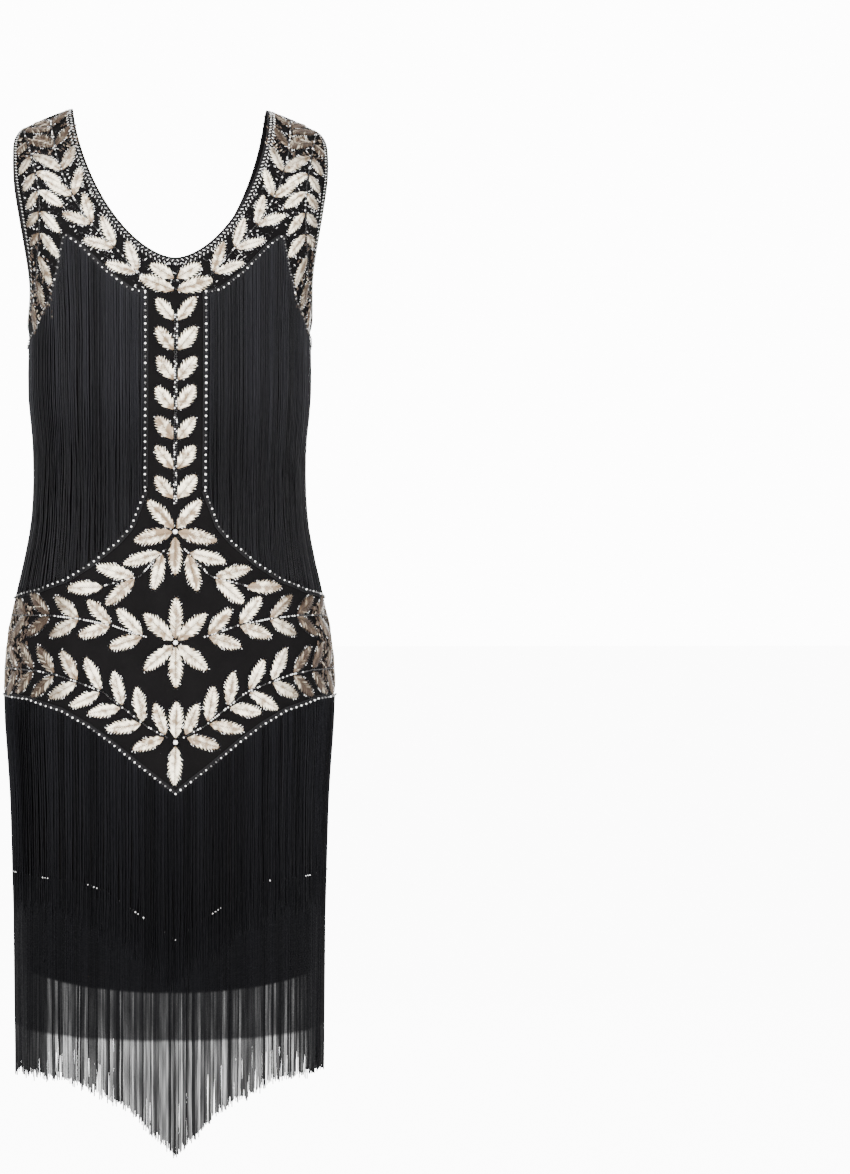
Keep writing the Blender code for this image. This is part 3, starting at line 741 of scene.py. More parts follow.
def threadMesh(name, side, look, span, ends):  # all threads of one fringe
    count, knots = look["count"], look["knots"]
    pitch = (span[1] - span[0]) / count
    jitter = chance.uniform(-threads["jitter"], threads["jitter"], count)
    root = np.linspace(span[0], span[1], count) + jitter * pitch
    lift = np.array(look["lifts"])[np.arange(count) % len(look["lifts"])]
    lift = lift + chance.uniform(-0.0002, 0.0002, count)
    start = levelOf(side, look["line"])(root) + threads["below"]
    beside = (np.abs(root) / np.abs(span).max()) ** 4
    ragged = look["ragged"] * (1 + threads["raggedBeside"] * beside)
    most = threads["rangeOfEnds"]
    end = ends(root) + np.clip(chance.normal(0, 1, count), -most, most) * ragged
    t = np.linspace(0, 1, knots)[None, :] ** look["spread"]
    down = start[:, None] + (end - start)[:, None] * t
    across = hangingAcross(side, root[:, None], start[:, None], down)
    strand = np.arange(count) // threads["strand"]
    phase = chance.uniform(0, 2 * math.pi, strand[-1] + 1)[strand][:, None]
    swing = chance.uniform(*threads["swing"], count)[:, None]
    clump = root / threads["clump"] * 2 * math.pi + np.sin(root * threads["wander"]) * 2
    clump = np.sin(clump)[:, None]
    length = down - start[:, None]
    (slowShare, slow), (quickShare, quick) = threads["slow"], threads["quick"]
    waves = swing * (slowShare * np.sin(phase + slow * length)
                     + quickShare * np.sin(3 * phase + quick * length))
    across = across + t ** 0.8 * (look["gather"] * clump * t + look["sway"] * waves)
    free = np.clip((down - side.down(cut["netHem"])) / threads["nodRun"], 0, 1)
    out = lift[:, None] * np.clip(t * 8, 0.5, 1) * (1 - 0.7 * beside[:, None] * t ** 4)
    out = out + look["sway"] * free * swing * np.sin(2 * phase + threads["nod"] * length)
    across = side.within(across, down, threads["inset"])
    places, _ = side.spots(across, down, out)
    first = np.arange(count)[:, None] * knots + np.arange(knots - 1)[None, :]
    edges = np.stack([first, first + 1], -1).reshape(-1, 2)
    mesh = newMesh(name, places, edges=edges.tolist())
    wide, drift, fine = threads["streaks"]
    streak = 0.35 * np.sin(root * wide + 3 * np.sin(root * drift)) + 0.15 * np.sin(root * fine)
    uneven = chance.normal(0, threads["unevenTone"], count)
    tone = np.clip(look["tone"] * (0.30 + 1.4 * (0.5 + streak)) + uneven, 0, 1)
    drop = np.interp(down, side.downs, side.drops)
    half = np.abs(places[..., 0]) / side.width(drop)
    glow = chance.choice(threads["glow"], strand[-1] + 1, p=threads["glowShares"])
    glow = (glow[strand] * chance.uniform(*threads["unevenGlow"], count))[:, None]
    rippleShare, ripple = threads["ripple"]
    fades, run, least = threads["glowSides"]
    glow = glow * (1 + rippleShare * np.sin(2 * phase + ripple * length))
    # the tone is darkened with the drop, as painted shade
    values = {"tone": tone[:, None] * np.interp(drop, *look["paintedShadeByDrop"]), "run": length,
              "pastLining": belowHem(side, "lining", across, down),
              "pastNet": belowHem(side, "net", across, down),
              # painted glow: how far the thread's colour is lightened towards pale, as painted
              # light coming through it
              "paintedGlow": glow * np.clip((fades - half) / run, least, 1)}
    for key, value in values.items():
        putAttribute(mesh, key, value)
    return grow(mesh, trees["cords"], {"Sides": threads["sides"], "Radius": threads["radius"],
                                       "Material": materials[look["finish"]]}, name)


for name, side in sides.items():
    stop = levelOf(side, "hipTop")
    inner = side.place(*lines["bodiceFringe"][0])[0]
    outer = side.reach(side.down(lines["bodiceFringe"][-1][1])) - 0.002
    for half, span in (("right", (inner, outer)), ("left", (-outer, -inner))):
        pieceName = name + half.capitalize() + "BodiceFringe"
        piece = showPiece(threadMesh(pieceName, side, fringes["bodice"], span,
                                     lambda at: stop(at) - 0.002), pieceName)
        declare(piece, "fringe_thread", f"bodice_fringe_{name}_{half}")
    for tier in ("upper", "lower"):
        look = fringes[tier]
        line, hem = levelOf(side, look["line"]), levelOf(side, "fringeHem")
        wide = side.reach(side.down(lines[look["line"]][-1][1])) - 0.001

        def upperEnds(at):  # a little longer towards the side seams
            return line(at) + look["length"] + look["sideLength"] * (np.abs(at) / wide) ** 2

        pieceName = name + tier.capitalize() + "SkirtFringe"
        piece = showPiece(threadMesh(pieceName, side, look, (-wide, wide),
                                     hem if tier == "lower" else upperEnds), pieceName)
        declare(piece, "fringe_thread", f"skirt_fringe_{tier}_{name}")
print("fringe hung")


# Where the leaves lie

# places along the stem; start and pitch of its leaves and their width; turns and lengths of
# the left and the right leaf, or of one that the mirror image makes a pair; and the share of
# silver among the ticks round a leaf and among the stem's beads
vines = {
    "neck": {"stem": [(0.0000, 0.1975), (0.0370, 0.1817), (0.0580, 0.1572), (0.0815, 0.1317),
                      (0.0900, 0.1200)],
             "start": 0.0405, "pitch": 0.0345, "width": 0.0106,
             "turns": (-22, 30), "lengths": (0.035, 0.034), "silver": 0.52, "stemSilver": 0.25},
    "shoulder": {"stem": [(0.0900, 0.1200), (0.1004, 0.1018), (0.1100, 0.0780),
                          (0.1175, 0.0500), (0.1215, 0.0200), (0.1225, 0.0080)],
                 "start": 0.0225, "pitch": 0.0345, "width": 0.0108,
                 "turns": (-36, 27), "lengths": (0.034, 0.033), "silver": 0.42,
                 "stemSilver": 0.25},
    "arm": {"stem": [(0.1500, 0.0060), (0.1425, 0.0400), (0.1365, 0.0750), (0.1335, 0.1028),
                     (0.1340, 0.1400), (0.1365, 0.1750), (0.1395, 0.2000), (0.1425, 0.2150)],
            "start": 0.000, "pitch": 0.0255, "width": 0.0104,
            "turns": (-40, 40), "lengths": (0.024, 0.035), "silver": 0.34, "stemSilver": 0.22},
    "column": {"stem": [(0.0010, 0.4100), (0.0010, 0.2235)],
               "start": 0.003, "pitch": 0.0295, "width": 0.0134,
               "turns": (36,), "lengths": (0.030,), "silver": 0.10, "stemSilver": 0.34},
    "spray": {"stem": [(0.0095, 0.4560), (0.0355, 0.4830), (0.0720, 0.4925)],
              "start": 0.004, "pitch": 0.037, "width": 0.0130,
              "turns": (-30, 28), "lengths": (0.039, 0.039), "silver": 0.26, "stemSilver": 0.50},
    "middle": {"stem": [(0.0295, 0.5430), (0.0650, 0.5310), (0.0965, 0.5250), (0.1240, 0.5220),
                        (0.1670, 0.5220)],
               "start": 0.002, "pitch": 0.0335, "width": 0.0127,
               "turns": (-29, 37), "lengths": (0.036, 0.036), "silver": 0.26,
               "stemSilver": 0.60},
    "garland": {"stem": [(0.0085, 0.6430), (0.0285, 0.6320), (0.0485, 0.6160), (0.0715, 0.5980),
                         (0.0965, 0.5880), (0.1180, 0.5810), (0.1400, 0.5770),
                         (0.1690, 0.5750)],
                "start": 0.001, "pitch": 0.0262, "width": 0.0122,
                "turns": (-41, 48), "lengths": (0.036, 0.036), "silver": 0.26,
                "stemSilver": 0.45},
}

# half, drop, turn from straight up, length
petals = [
    (0.0012, 0.1990, 70, 0.0385), (0.0012, 0.1870, 56, 0.0290),
    (0.0012, 0.4355, 43, 0.0385), (0.0020, 0.4385, 103, 0.0405), (0.0000, 0.4430, 180, 0.0400),
    (0.0715, 0.4935, 90, 0.0390),
    (0.0000, 0.5455, 0, 0.0440), (0.0022, 0.5470, 45, 0.0395), (0.0022, 0.5510, 131, 0.0390),
    (0.0000, 0.5520, 180, 0.0430),
    (0.0000, 0.6445, 0, 0.0390), (0.0000, 0.6510, 180, 0.0395),
]
petalWidth = 0.0138
petalSilver = 0.15
leafGaps = {"stem": 0.0018, "fringe": 0.0020, "edge": 0.0054, "bead": 0.0012}
leafShrinks = {"step": 0.95, "shortest": 0.6}  # where a leaf would cross an edge or the fringe
leafDrift = {"turn": (-2.5, 2.5), "length": (0.95, 1.03), "width": (0.92, 1.08)}  # hand work
cabochons = [(0.0000, 0.4385), (0.0000, 0.5487), (0.0000, 0.6478)]  # one where petals meet

# parts where bugles fill the ground: drops, shares of the way round, count on a half
fills = [
    {"drops": (0.510, 0.600), "shares": (0.70, 0.992), "count": 520},
    {"drops": (0.003, 0.050), "shares": (0.46, 0.97), "count": 230},
    {"drops": (0.140, 0.224), "shares": (0.62, 0.97), "count": 260},
]

Leaf = namedtuple("Leaf", "base turn length width silver")


def axesOf(leaf):  # along the leaf, and to its side
    angle = math.radians(leaf.turn)
    along = np.array([math.sin(angle), -math.cos(angle)])
    return along, np.array([-along[1], along[0]])


def walkStem(side, vine):  # where leaves start on a stem, and how it runs there in degrees
    stem = side.route(vine["stem"])
    length = runLength(stem)
    for at in np.arange(vine["start"], length[-1], vine["pitch"]):
        i = min(np.searchsorted(length, at, side="right") - 1, len(stem) - 2)
        run = (stem[i + 1] - stem[i]) / (length[i + 1] - length[i])
        base = stem[i] + run * (at - length[i])
        yield base, math.degrees(math.atan2(run[0], -run[1]))


def leavesOf(side):  # every leaf of one side, each a little off its rule as hand work is
    right, centred = [], []
    for vine in vines.values():
        for base, heading in walkStem(side, vine):
            for turn, length in zip(vine["turns"], vine["lengths"]):
                leaf = Leaf(base, heading + turn, length, vine["width"], vine["silver"])
                right.append(leaf._replace(base=base + axesOf(leaf)[0] * leafGaps["stem"]))
    for half, drop, turn, length in petals:
        base = np.array(side.place(half, drop))
        (right if half else centred).append(Leaf(base, turn, length, petalWidth, petalSilver))
    outline = panelOutline(side)
    fringeLine = toFlat(side, *evenly(side.route(lines["bodiceFringe"]), 0.004).T)

    def crosses(leaf):
        spot = leaf.base + axesOf(leaf)[0] * leaf.length
        tip = toFlat(side, spot[:1], spot[1:])
        return (not clearOf(tip, fringeLine, leafGaps["fringe"])[0]
                or not insideOf(tip, outline)[0]
                or not clearOf(tip, outline, leafGaps["edge"])[0])

    kept = []
    for leaf in right:
        shortest = leaf.length * leafShrinks["shortest"]
        while leaf.length > shortest and crosses(leaf):
            leaf = leaf._replace(length=leaf.length * leafShrinks["step"])
        if not crosses(leaf):
            kept.append(leaf)
    left = [leaf._replace(base=leaf.base * (-1, 1), turn=-leaf.turn) for leaf in kept]
    return [leaf._replace(turn=leaf.turn + chance.uniform(*leafDrift["turn"]),
                          length=leaf.length * chance.uniform(*leafDrift["length"]),
                          width=leaf.width * chance.uniform(*leafDrift["width"]))
            for leaf in kept + left + centred]


# Beads

# lifts are heights over the cloth, at the start and the end of a long bead
beadRows = {
    "bugle": {"pitch": 0.0020, "slant": 36, "width": 0.0016, "thick": 0.0013,
              "lifts": (0.0016, 0.0008), "first": 0.0012, "last": 0.0022, "least": 0.0016,
              "tooth": 0.27, "teeth": (0.4, -0.6), "uneven": 0.04,
              "foot": (0.35, 0.25), "noise": 0.10,  # the darker foot: how much, how far
              "shades": [-0.10, 0.10, 0.30, 0.52], "shadeShares": [0.32, 0.28, 0.24, 0.16],
              # how much of the painted shade each bead takes; those that take little stand in for
              # painted glints
              "paintedShadeLevels": [0.66, 0.94, 1.02], "paintedShadeLevelShares": [0.20, 0.25, 0.55]},
    "loose": {"half": 0.0022, "width": 0.0016, "thick": 0.0013, "lifts": (0.0009, 0.0009),
              "turns": [-38, 40], "uneven": 16, "tones": (0.2, 0.9),
              # how much of the painted shade each bead takes; those that take little stand in for
              # painted glints
              "paintedShadeLevels": [0.50, 0.93, 1.0], "paintedShadeLevelShares": [0.13, 0.22, 0.65]},
    "tick": {"pitch": 0.0024, "from": 0.0003, "to": 0.0022, "width": 0.0010,
             "lifts": (0.0006, 0.0006), "lean": (0.55, 0.84), "pace": 0.8, "tone": 0.85},
    "stem": {"pitch": 0.0023, "size": 0.0018, "lift": 0.0009, "uneven": 0.0005,
             "dim": (0.90, 0.20, 0.1), "tone": 0.85},  # less silver towards the outline
    "line": {"pitch": 0.0064, "lift": 0.0026, "link": 0.0017, "linkLift": 0.0020,
             "dim": (0.95, 0.14, 0.15), "jet": (0.66, 0.08), "tones": (0.75, 1.0), "dark": 0.10,
             "uneven": (0.85, 1.1),
             "sizes": {"bodiceFringe": 0.0019, "columnEdge": 0.0023, "hipTop": 0.0020,
                       "hipBottom": 0.0021},
             "silver": {"bodiceFringe": 0.66, "columnEdge": 0.84, "hipTop": 0.78,
                        "hipBottom": 0.90}},
    "yoke": {"count": 1800, "drops": (0.020, 0.205), "half": 0.0015, "width": 0.0010,
             "lifts": (0.0006, 0.0006), "turns": [-50, 50], "uneven": 14, "silver": 0.38,
             "edge": 0.0066, "band": 0.048, "above": 0.003, "tone": 0.8},
    "edge": {"pitch": 0.0023, "length": 0.0033, "width": 0.0011, "slant": 52,
             "lifts": (0.0008, 0.0008), "rows": (0.0024, 0.0058), "tone": 0.75},
    "lowerLine": {"sizes": (0.0010, 0.0016), "tones": (0.3, 0.9), "pace": 0.37, "seen": 0.89,
                  "lifts": (0.0032, 0.0006)},
    "cabochon": {"size": 0.0052, "lift": 0.0022},
}
beds = {"stations": 8, "width": 0.86, "lift": 0.0011, "paintedShade": 0.45}  # felt under the bugles; the least painted shade, in bronze, that it takes
leafCurve = 0.68  # a lower one makes a leaf blunter
# where leaves turn bronze, as painted shade where they turn away from the front: a share of
# the half width, sooner below a drop, and the shoulders
paintedShading = {"start": 0.73, "run": 0.16, "sooner": 0.12, "below": 0.30, "belowRun": 0.10,
          "shoulder": 0.070, "shoulderRun": 0.030}
bothHands = ((1, 1), (-1, 1))  # as it is, and mirrored


def beadObject(name, rings, turns):  # a small turned bead of unit length along x
    verts = [(-0.5, 0, 0)]
    for x, radius in rings:
        for k in range(turns):
            angle = 2 * math.pi * (k + 0.5) / turns
            verts.append((x, radius * math.cos(angle), radius * math.sin(angle)))
    verts.append((0.5, 0, 0))
    last = len(verts) - 1
    faces = []
    for k in range(turns):
        after = (k + 1) % turns
        faces.append((1 + after, 1 + k, 0))
        for ring in range(len(rings) - 1):
            a, b = 1 + ring * turns, 1 + (ring + 1) * turns
            faces.append((a + after, b + after, b + k, a + k))
        end = 1 + (len(rings) - 1) * turns
        faces.append((end + after, last, end + k))
    mesh = newMesh(name, verts, faces=faces)
    mesh.shade_smooth()
    putAttribute(mesh, "end", [vert[0] + 0.5 for vert in verts])
    return showPiece(mesh, name)


beadShapes = {
    "bugle": beadObject("bugleBead", [(-0.36, 0.34), (0.08, 0.50), (0.38, 0.36)], 4),
    "tick": beadObject("tickBead", [(-0.28, 0.46), (0.28, 0.46)], 3),
    "round": beadObject("roundBead", [(-0.32, 0.40), (0.0, 0.5), (0.32, 0.40)], 7),
    "seed": beadObject("seedBead", [(-0.2, 0.48), (0.2, 0.48)], 5),
}


def unit(rows):
    return rows / np.linalg.norm(rows, axis=1, keepdims=True)


def directions(run):  # along a run and to its side, at each of its points
    step = unit(np.gradient(run, axis=0))
    return step, np.stack([-step[:, 1], step[:, 0]], 1)


def eulers(run, normal):  # turns a bead's length along run and its top to the normal
    x = unit(run)
    y = unit(np.cross(normal, x))
    z = np.cross(x, y)
    return np.array([Matrix(np.stack(axes, 1).tolist()).to_euler() for axes in zip(x, y, z)])


def longBeads(side, inner, outer, look):  # beads from one spot to another
    first, normal = side.spots(*inner.T, look["lifts"][0])
    last, _ = side.spots(*outer.T, look["lifts"][1])
    run = last - first
    sizes = np.full((len(run), 3), look["width"])
    sizes[:, 0] = np.linalg.norm(run, axis=1) * 1.04  # the ends sink in a little
    sizes[:, 2] = look.get("thick", look["width"])
    return (first + last) / 2, eulers(run, normal), sizes


def roundBeads(side, spots, size, lift):
    places, normal = side.spots(*spots.T, lift)
    turns = eulers(np.cross(normal, (0, 0, 1.0)), normal)
    return places, turns, np.broadcast_to(np.reshape(size, (-1, 1)), (len(places), 3))


def sew(name, shape, finish, slot, parts):  # parts: places, turns, sizes, attributes
    places, turns, sizes = (np.concatenate([part[k] for part in parts]) for k in range(3))
    mesh = newMesh(name, places)
    putAttribute(mesh, "turn", turns, "FLOAT_VECTOR")
    putAttribute(mesh, "size", sizes, "FLOAT_VECTOR")
    for key in parts[0][3]:
        putAttribute(mesh, key, np.concatenate([part[3][key] for part in parts]))
    mesh = grow(mesh, trees["beads"], {"Bead": beadShapes[shape],
                                       "Material": materials[finish]}, name)
    declare(showPiece(mesh, name), slot)
    return len(places)


def leafHalf(leaf, share):  # half the width of a leaf, at a share of its length
    return leaf.width / 2 * np.sin(math.pi * np.clip(share, 0, 1)) ** leafCurve


def halfShare(side, spots):  # 0 at the centre line, 1 at the outline seen in front
    places, _ = side.spots(*spots.T)
    drop = np.interp(spots[:, 1], side.downs, side.drops)
    return np.abs(places[:, 0]) / side.width(drop), drop


def paintedShadeOf(side, spots):  # painted shade, in bronze, towards the side seams and on the shoulders, where the sequins turn away from the front
    share, drop = halfShare(side, spots)
    sooner = np.clip((drop - paintedShading["below"]) / paintedShading["belowRun"], 0, 1) * paintedShading["sooner"]
    paintedShade = np.clip((share - (paintedShading["start"] - sooner)) / paintedShading["run"], 0, 1)
    return np.maximum(paintedShade, np.clip((paintedShading["shoulder"] - drop) / paintedShading["shoulderRun"], 0, 1))


def leafRows(leaf):  # where each bead of a leaf starts on the rib and ends at the edge
    look = beadRows["bugle"]
    along, aside = axesOf(leaf)
    slant = math.radians(look["slant"])
    stations = np.arange(look["first"], leaf.length - look["last"], look["pitch"])
    low, high = np.zeros(len(stations)), (leaf.length - stations) / math.cos(slant)
    for _ in range(14):
        reach = (low + high) / 2
        share = (stations + reach * math.cos(slant)) / leaf.length
        wide = reach * math.sin(slant) > leafHalf(leaf, share)
        low, high = np.where(wide, low, reach), np.where(wide, reach, high)
    reach = np.maximum(reach, look["least"])
    inner = leaf.base + stations[:, None] * along
    for hand in (1, -1):
        tooth = np.where(np.arange(len(stations)) % 2 == 0, *look["teeth"]) * look["tooth"]
        uneven = chance.uniform(-look["uneven"], look["uneven"], len(stations))
        long = reach * (1 + tooth + uneven)
        heading = along * math.cos(slant) + aside * hand * math.sin(slant)
        yield inner, inner + heading * long[:, None], stations / leaf.length


def leafBugles(side, leaves):  # darker towards the foot of a leaf, and each leaf a shade off
    look = beadRows["bugle"]
    dark, foot = look["foot"]
    parts, tones = [], []
    for leaf in leaves:
        shade = chance.choice(look["shades"], p=look["shadeShares"])
        for inner, outer, share in leafRows(leaf):
            parts.append((inner, outer))
            base = dark * np.clip(1 - share / foot, 0, 1)
            tones.append(shade + base + chance.normal(0, look["noise"], len(share)))
    inner, outer = (np.concatenate([part[k] for part in parts]) for k in range(2))
    # painted shade by place, and a random share of it for each bead
    paintedShade = paintedShadeOf(side, outer)
    paintedShade = paintedShade * chance.choice(look["paintedShadeLevels"], len(inner), p=look["paintedShadeLevelShares"])
    return (*longBeads(side, inner, outer, look),
            {"tone": np.clip(np.concatenate(tones), 0, 1), "paintedShade": np.clip(paintedShade, 0, 1)})


def freeOf(spots, leaves):  # which spots lie beside the leaves
    free = np.ones(len(spots), bool)
    for leaf in leaves:
        along, aside = axesOf(leaf)
        rest = spots - leaf.base
        at = rest @ along / leaf.length
        beside = np.abs(rest @ aside) > leafHalf(leaf, at) + leafGaps["bead"]
        free &= (at < 0) | (at > 1) | beside
    return free


def looseTurns(look, count):  # half the run of loose beads, each turned its own way
    uneven = look["uneven"]
    turn = np.radians(chance.choice(look["turns"], count) + chance.uniform(-uneven, uneven, count))
    return np.stack([np.sin(turn), -np.cos(turn)], 1) * look["half"]


def yokeTicks(side, leaves, outline):  # loose ticks between the leaves above the fringe
    look = beadRows["yoke"]
    down = side.down(chance.uniform(*look["drops"], look["count"]))
    spots = np.stack([chance.uniform(0, 1, look["count"]) * side.reach(down), down], 1)
    flat = toFlat(side, *spots.T)
    free = freeOf(spots, leaves) & insideOf(flat, outline)
    free &= clearOf(flat, outline, look["edge"]) & ~clearOf(flat, outline, look["band"])
    free &= down < levelOf(side, "bodiceFringe")(spots[:, 0]) - look["above"]
    spots = spots[free]
    run = looseTurns(look, len(spots))
    for sign in bothHands:
        made = longBeads(side, (spots - run) * sign, (spots + run) * sign, look)
        seen = chance.random(len(spots)) < look["silver"]
        yield *made, {"tone": np.where(seen, look["tone"], 0.0)}


def fillBugles(side, leaves, outline):  # loose bugles between the leaves of a crowded part
    look = beadRows["loose"]
    inner, outer = [], []
    for fill in fills:
        share = chance.uniform(*fill["shares"], fill["count"])
        down = side.down(chance.uniform(*fill["drops"], fill["count"]))
        spots = np.stack([share * side.reach(down), down], 1)
        free = freeOf(spots, leaves)
        spots = spots[free & insideOf(toFlat(side, spots[:, 0] * 1.02, spots[:, 1]), outline)]
        run = looseTurns(look, len(spots))
        for sign in bothHands:
            inner.append((spots - run) * sign)
            outer.append((spots + run) * sign)
    inner, outer = np.concatenate(inner), np.concatenate(outer)
    outer[:, 0] = side.within(*outer.T)
    # painted shade in bronze at a random level for each bead, as these parts lie by the side
    # seams, the shoulders and the armholes
    paintedShade = chance.choice(look["paintedShadeLevels"], len(inner), p=look["paintedShadeLevelShares"])
    return (*longBeads(side, inner, outer, look),
            {"tone": chance.uniform(*look["tones"], len(inner)), "paintedShade": paintedShade})


def leafBeds(name, side, leaves):  # the felt under the bugles, a low closed dome
    stations = np.linspace(0.02, 0.98, beds["stations"])
    faces, spots = [], []
    for leaf in leaves:
        along, aside = axesOf(leaf)
        rib = leaf.base + (stations * leaf.length)[:, None] * along
        half = leafHalf(leaf, stations)[:, None] * aside * beds["width"]
        faces += ringFaces(len(spots) * 3, len(stations), 3)
        spots += zip(rib - half, rib, rib + half)
    spots = np.array(spots).reshape(-1, 2)
    lifts = np.tile([0.0001, beds["lift"], 0.0001], len(spots) // 3)
    mesh = newMesh(name, side.spots(*spots.T, lifts)[0],
                   faces=faces if side.facing < 0 else [face[::-1] for face in faces])
    putAttribute(mesh, "tone", np.ones(len(spots)))
    putAttribute(mesh, "paintedShade", paintedShadeOf(side, spots).clip(beds["paintedShade"]))
    mesh.materials.append(materials["leaf"])
    mesh.shade_smooth()
    declare(showPiece(mesh, name), "leaf_beading")


def leafTicks(side, leaves, outline):  # short slanted ticks round a leaf, some of them silver
    look = beadRows["tick"]
    forward, sideways = look["lean"]
    inner, outer, tones = [], [], []
    for leaf in leaves:
        along, aside = axesOf(leaf)
        count = round(leaf.length / look["pitch"])
        share = np.linspace(0.03, 0.99, count)
        spot = leaf.base + (share * leaf.length)[:, None] * along
        for hand in (1, -1):
            edge = spot + leafHalf(leaf, share)[:, None] * aside * hand
            out = along * forward + aside * hand * sideways
            inner.append(edge + out * look["from"])
            outer.append(edge + out * look["to"])
            wave = np.sin(chance.uniform(0, 6.3) + np.arange(count) * look["pace"])
            silver = wave > math.cos(math.pi * leaf.silver)
            tones.append(np.where(silver, look["tone"], 0.0))
    inner, outer, tones = (np.concatenate(heap) for heap in (inner, outer, tones))
    inside = insideOf(toFlat(side, *outer.T), outline)
    return (*longBeads(side, inner[inside], outer[inside], look), {"tone": tones[inside]})


def bothHalves(side, places, pitch):  # spots along a line and along its mirror image
    right = evenly(side.route(places), pitch)
    left = right * (-1, 1)
    return np.concatenate([right, left if places[0][0] > 0 else left[1:]])


def lineBeads(side):
    look = beadRows["line"]
    start, run, least = look["dim"]
    jetFrom, jetSilver = look["jet"]
    for key, size in look["sizes"].items():
        spots = bothHalves(side, lines[key], look["pitch"])
        share, _ = halfShare(side, spots)
        silver = np.clip((start - share) / run, least, look["silver"][key])
        if key == "bodiceFringe":  # along the armhole the line is sewn with jet
            silver = np.where(share > jetFrom, jetSilver, silver)
        tone = np.where(chance.random(len(spots)) < silver,
                        chance.uniform(*look["tones"], len(spots)), look["dark"])
        sizes = size * chance.uniform(*look["uneven"], len(spots))
        yield *roundBeads(side, spots, sizes, look["lift"]), {"tone": tone}
        links = bothHalves(side, lines[key], look["pitch"] / 2)[1::2]
        made = roundBeads(side, links, look["link"], look["linkLift"])
        yield *made, {"tone": np.zeros(len(links))}
    # the lower line shows only here and there between the threads that hang over it
    spots = bothHalves(side, lines["lowerTier"], look["pitch"] / 2)
    count, look = len(spots), beadRows["lowerLine"]
    wave = np.sin(np.arange(count) * look["pace"] + 2.0) + chance.normal(0, 0.3, count)
    seen = wave > look["seen"]
    sizes = chance.uniform(*look["sizes"], count)
    # where the threads hide a bead it is coloured jet, as painted shade under the threads; the
    # seen ones keep their silver
    tone = np.where(seen, chance.uniform(*look["tones"], count), 0.0)
    yield *roundBeads(side, spots, sizes, np.where(seen, *look["lifts"])), {"tone": tone}
    look = beadRows["cabochon"]
    made = roundBeads(side, side.route(cabochons), look["size"], look["lift"])
    yield *made, {"tone": np.full(len(cabochons), 0.9)}


def stemBeads(side):
    look = beadRows["stem"]
    start, run, least = look["dim"]
    for vine in vines.values():
        spots = bothHalves(side, vine["stem"], look["pitch"])
        spots[:, 0] += chance.uniform(-look["uneven"], look["uneven"], len(spots))
        share, _ = halfShare(side, spots)
        silver = vine["stemSilver"] * np.clip((start - share) / run, least, 1)
        tone = np.where(chance.random(len(spots)) < silver, look["tone"], 0.0)
        yield *roundBeads(side, spots, look["size"], look["lift"]), {"tone": tone}


def edgeBugles(side, edge, rows):  # slanted bugles along a bound edge
    look = beadRows["edge"]
    spots = evenly(edge, look["pitch"])
    step, inward = directions(spots)
    slant = math.radians(look["slant"])
    for k, offset in enumerate(rows):
        lean = step * math.cos(slant) * (1 - 2 * (k % 2)) + inward * math.sin(slant)
        inner = spots + inward * offset - lean * look["length"] / 2
        outer = inner + lean * look["length"]
        tone = np.where((np.arange(len(spots)) + k) % 2 == 0, 0.0, look["tone"])
        for sign in bothHands:
            yield *longBeads(side, inner * sign, outer * sign, look), {"tone": tone}


for name, side in sides.items():
    outline = panelOutline(side)
    leaves = leavesOf(side)
    count = sew(name + "Leaves", "bugle", "leaf", "leaf_beading",
                [leafBugles(side, leaves), fillBugles(side, leaves, outline)])
    print(name, len(leaves), "leaves", count, "bugles")
    leafBeds(name + "LeafBeds", side, leaves)
    sew(name + "LeafTicks", "tick", "bead", "silver_beads",
        [leafTicks(side, leaves, outline), *yokeTicks(side, leaves, outline)])
    sew(name + "StemBeads", "seed", "bead", "silver_beads", list(stemBeads(side)))
    sew(name + "BeadLines", "round", "bead", "silver_beads", list(lineBeads(side)))
    rows = beadRows["edge"]["rows"]
    edging = list(edgeBugles(side, neckEdge(side), rows))
    edging += edgeBugles(side, armEdge(side), rows[:1])
    sew(name + "EdgeBugles", "tick", "bead", "silver_beads", edging)

for shape in beadShapes.values():
    bpy.data.objects.remove(shape)
print("beads sewn")


# Tapes, bindings and seams

trims = {"tapeWidth": 0.0056, "tapeThick": 0.0009, "tapeStep": 0.006, "binding": 0.0011,
         "bindingStep": 0.004, "seam": 0.0007, "cordSides": 8}


def tapeMesh(name, side, runs):  # flat tapes along lines, closed all round
    verts, faces = [], []
    half, thick = trims["tapeWidth"] / 2, trims["tapeThick"]
    for run in runs:
        _, aside = directions(run)
        corners = []
        for offset, lift in ((-half, 0.0), (-half, thick), (half, thick), (half, 0.0)):
            spots = run + aside * offset
            corners.append(side.spots(side.within(*spots.T), spots[:, 1], lift)[0])
        faces += ringFaces(len(verts), len(run), 4)
        verts += np.stack(corners, 1).reshape(-1, 3).tolist()
    mesh = newMesh(name, verts, faces=faces)
    shell = bmesh.new()
    shell.from_mesh(mesh)
    bmesh.ops.recalc_face_normals(shell, faces=shell.faces)
    shell.to_mesh(mesh)
    shell.free()
    mesh.materials.append(materials["binding"])
    return mesh


def cordMesh(name, runs, radius, finish):  # runs of points, as round cords
    verts, edges = [], []
    for run in runs:
        edges += [(len(verts) + k, len(verts) + k + 1) for k in range(len(run) - 1)]
        verts += run.tolist()
    return grow(newMesh(name, verts, edges), trees["cords"],
                {"Sides": trims["cordSides"], "Radius": radius, "Material": materials[finish]},
                name)


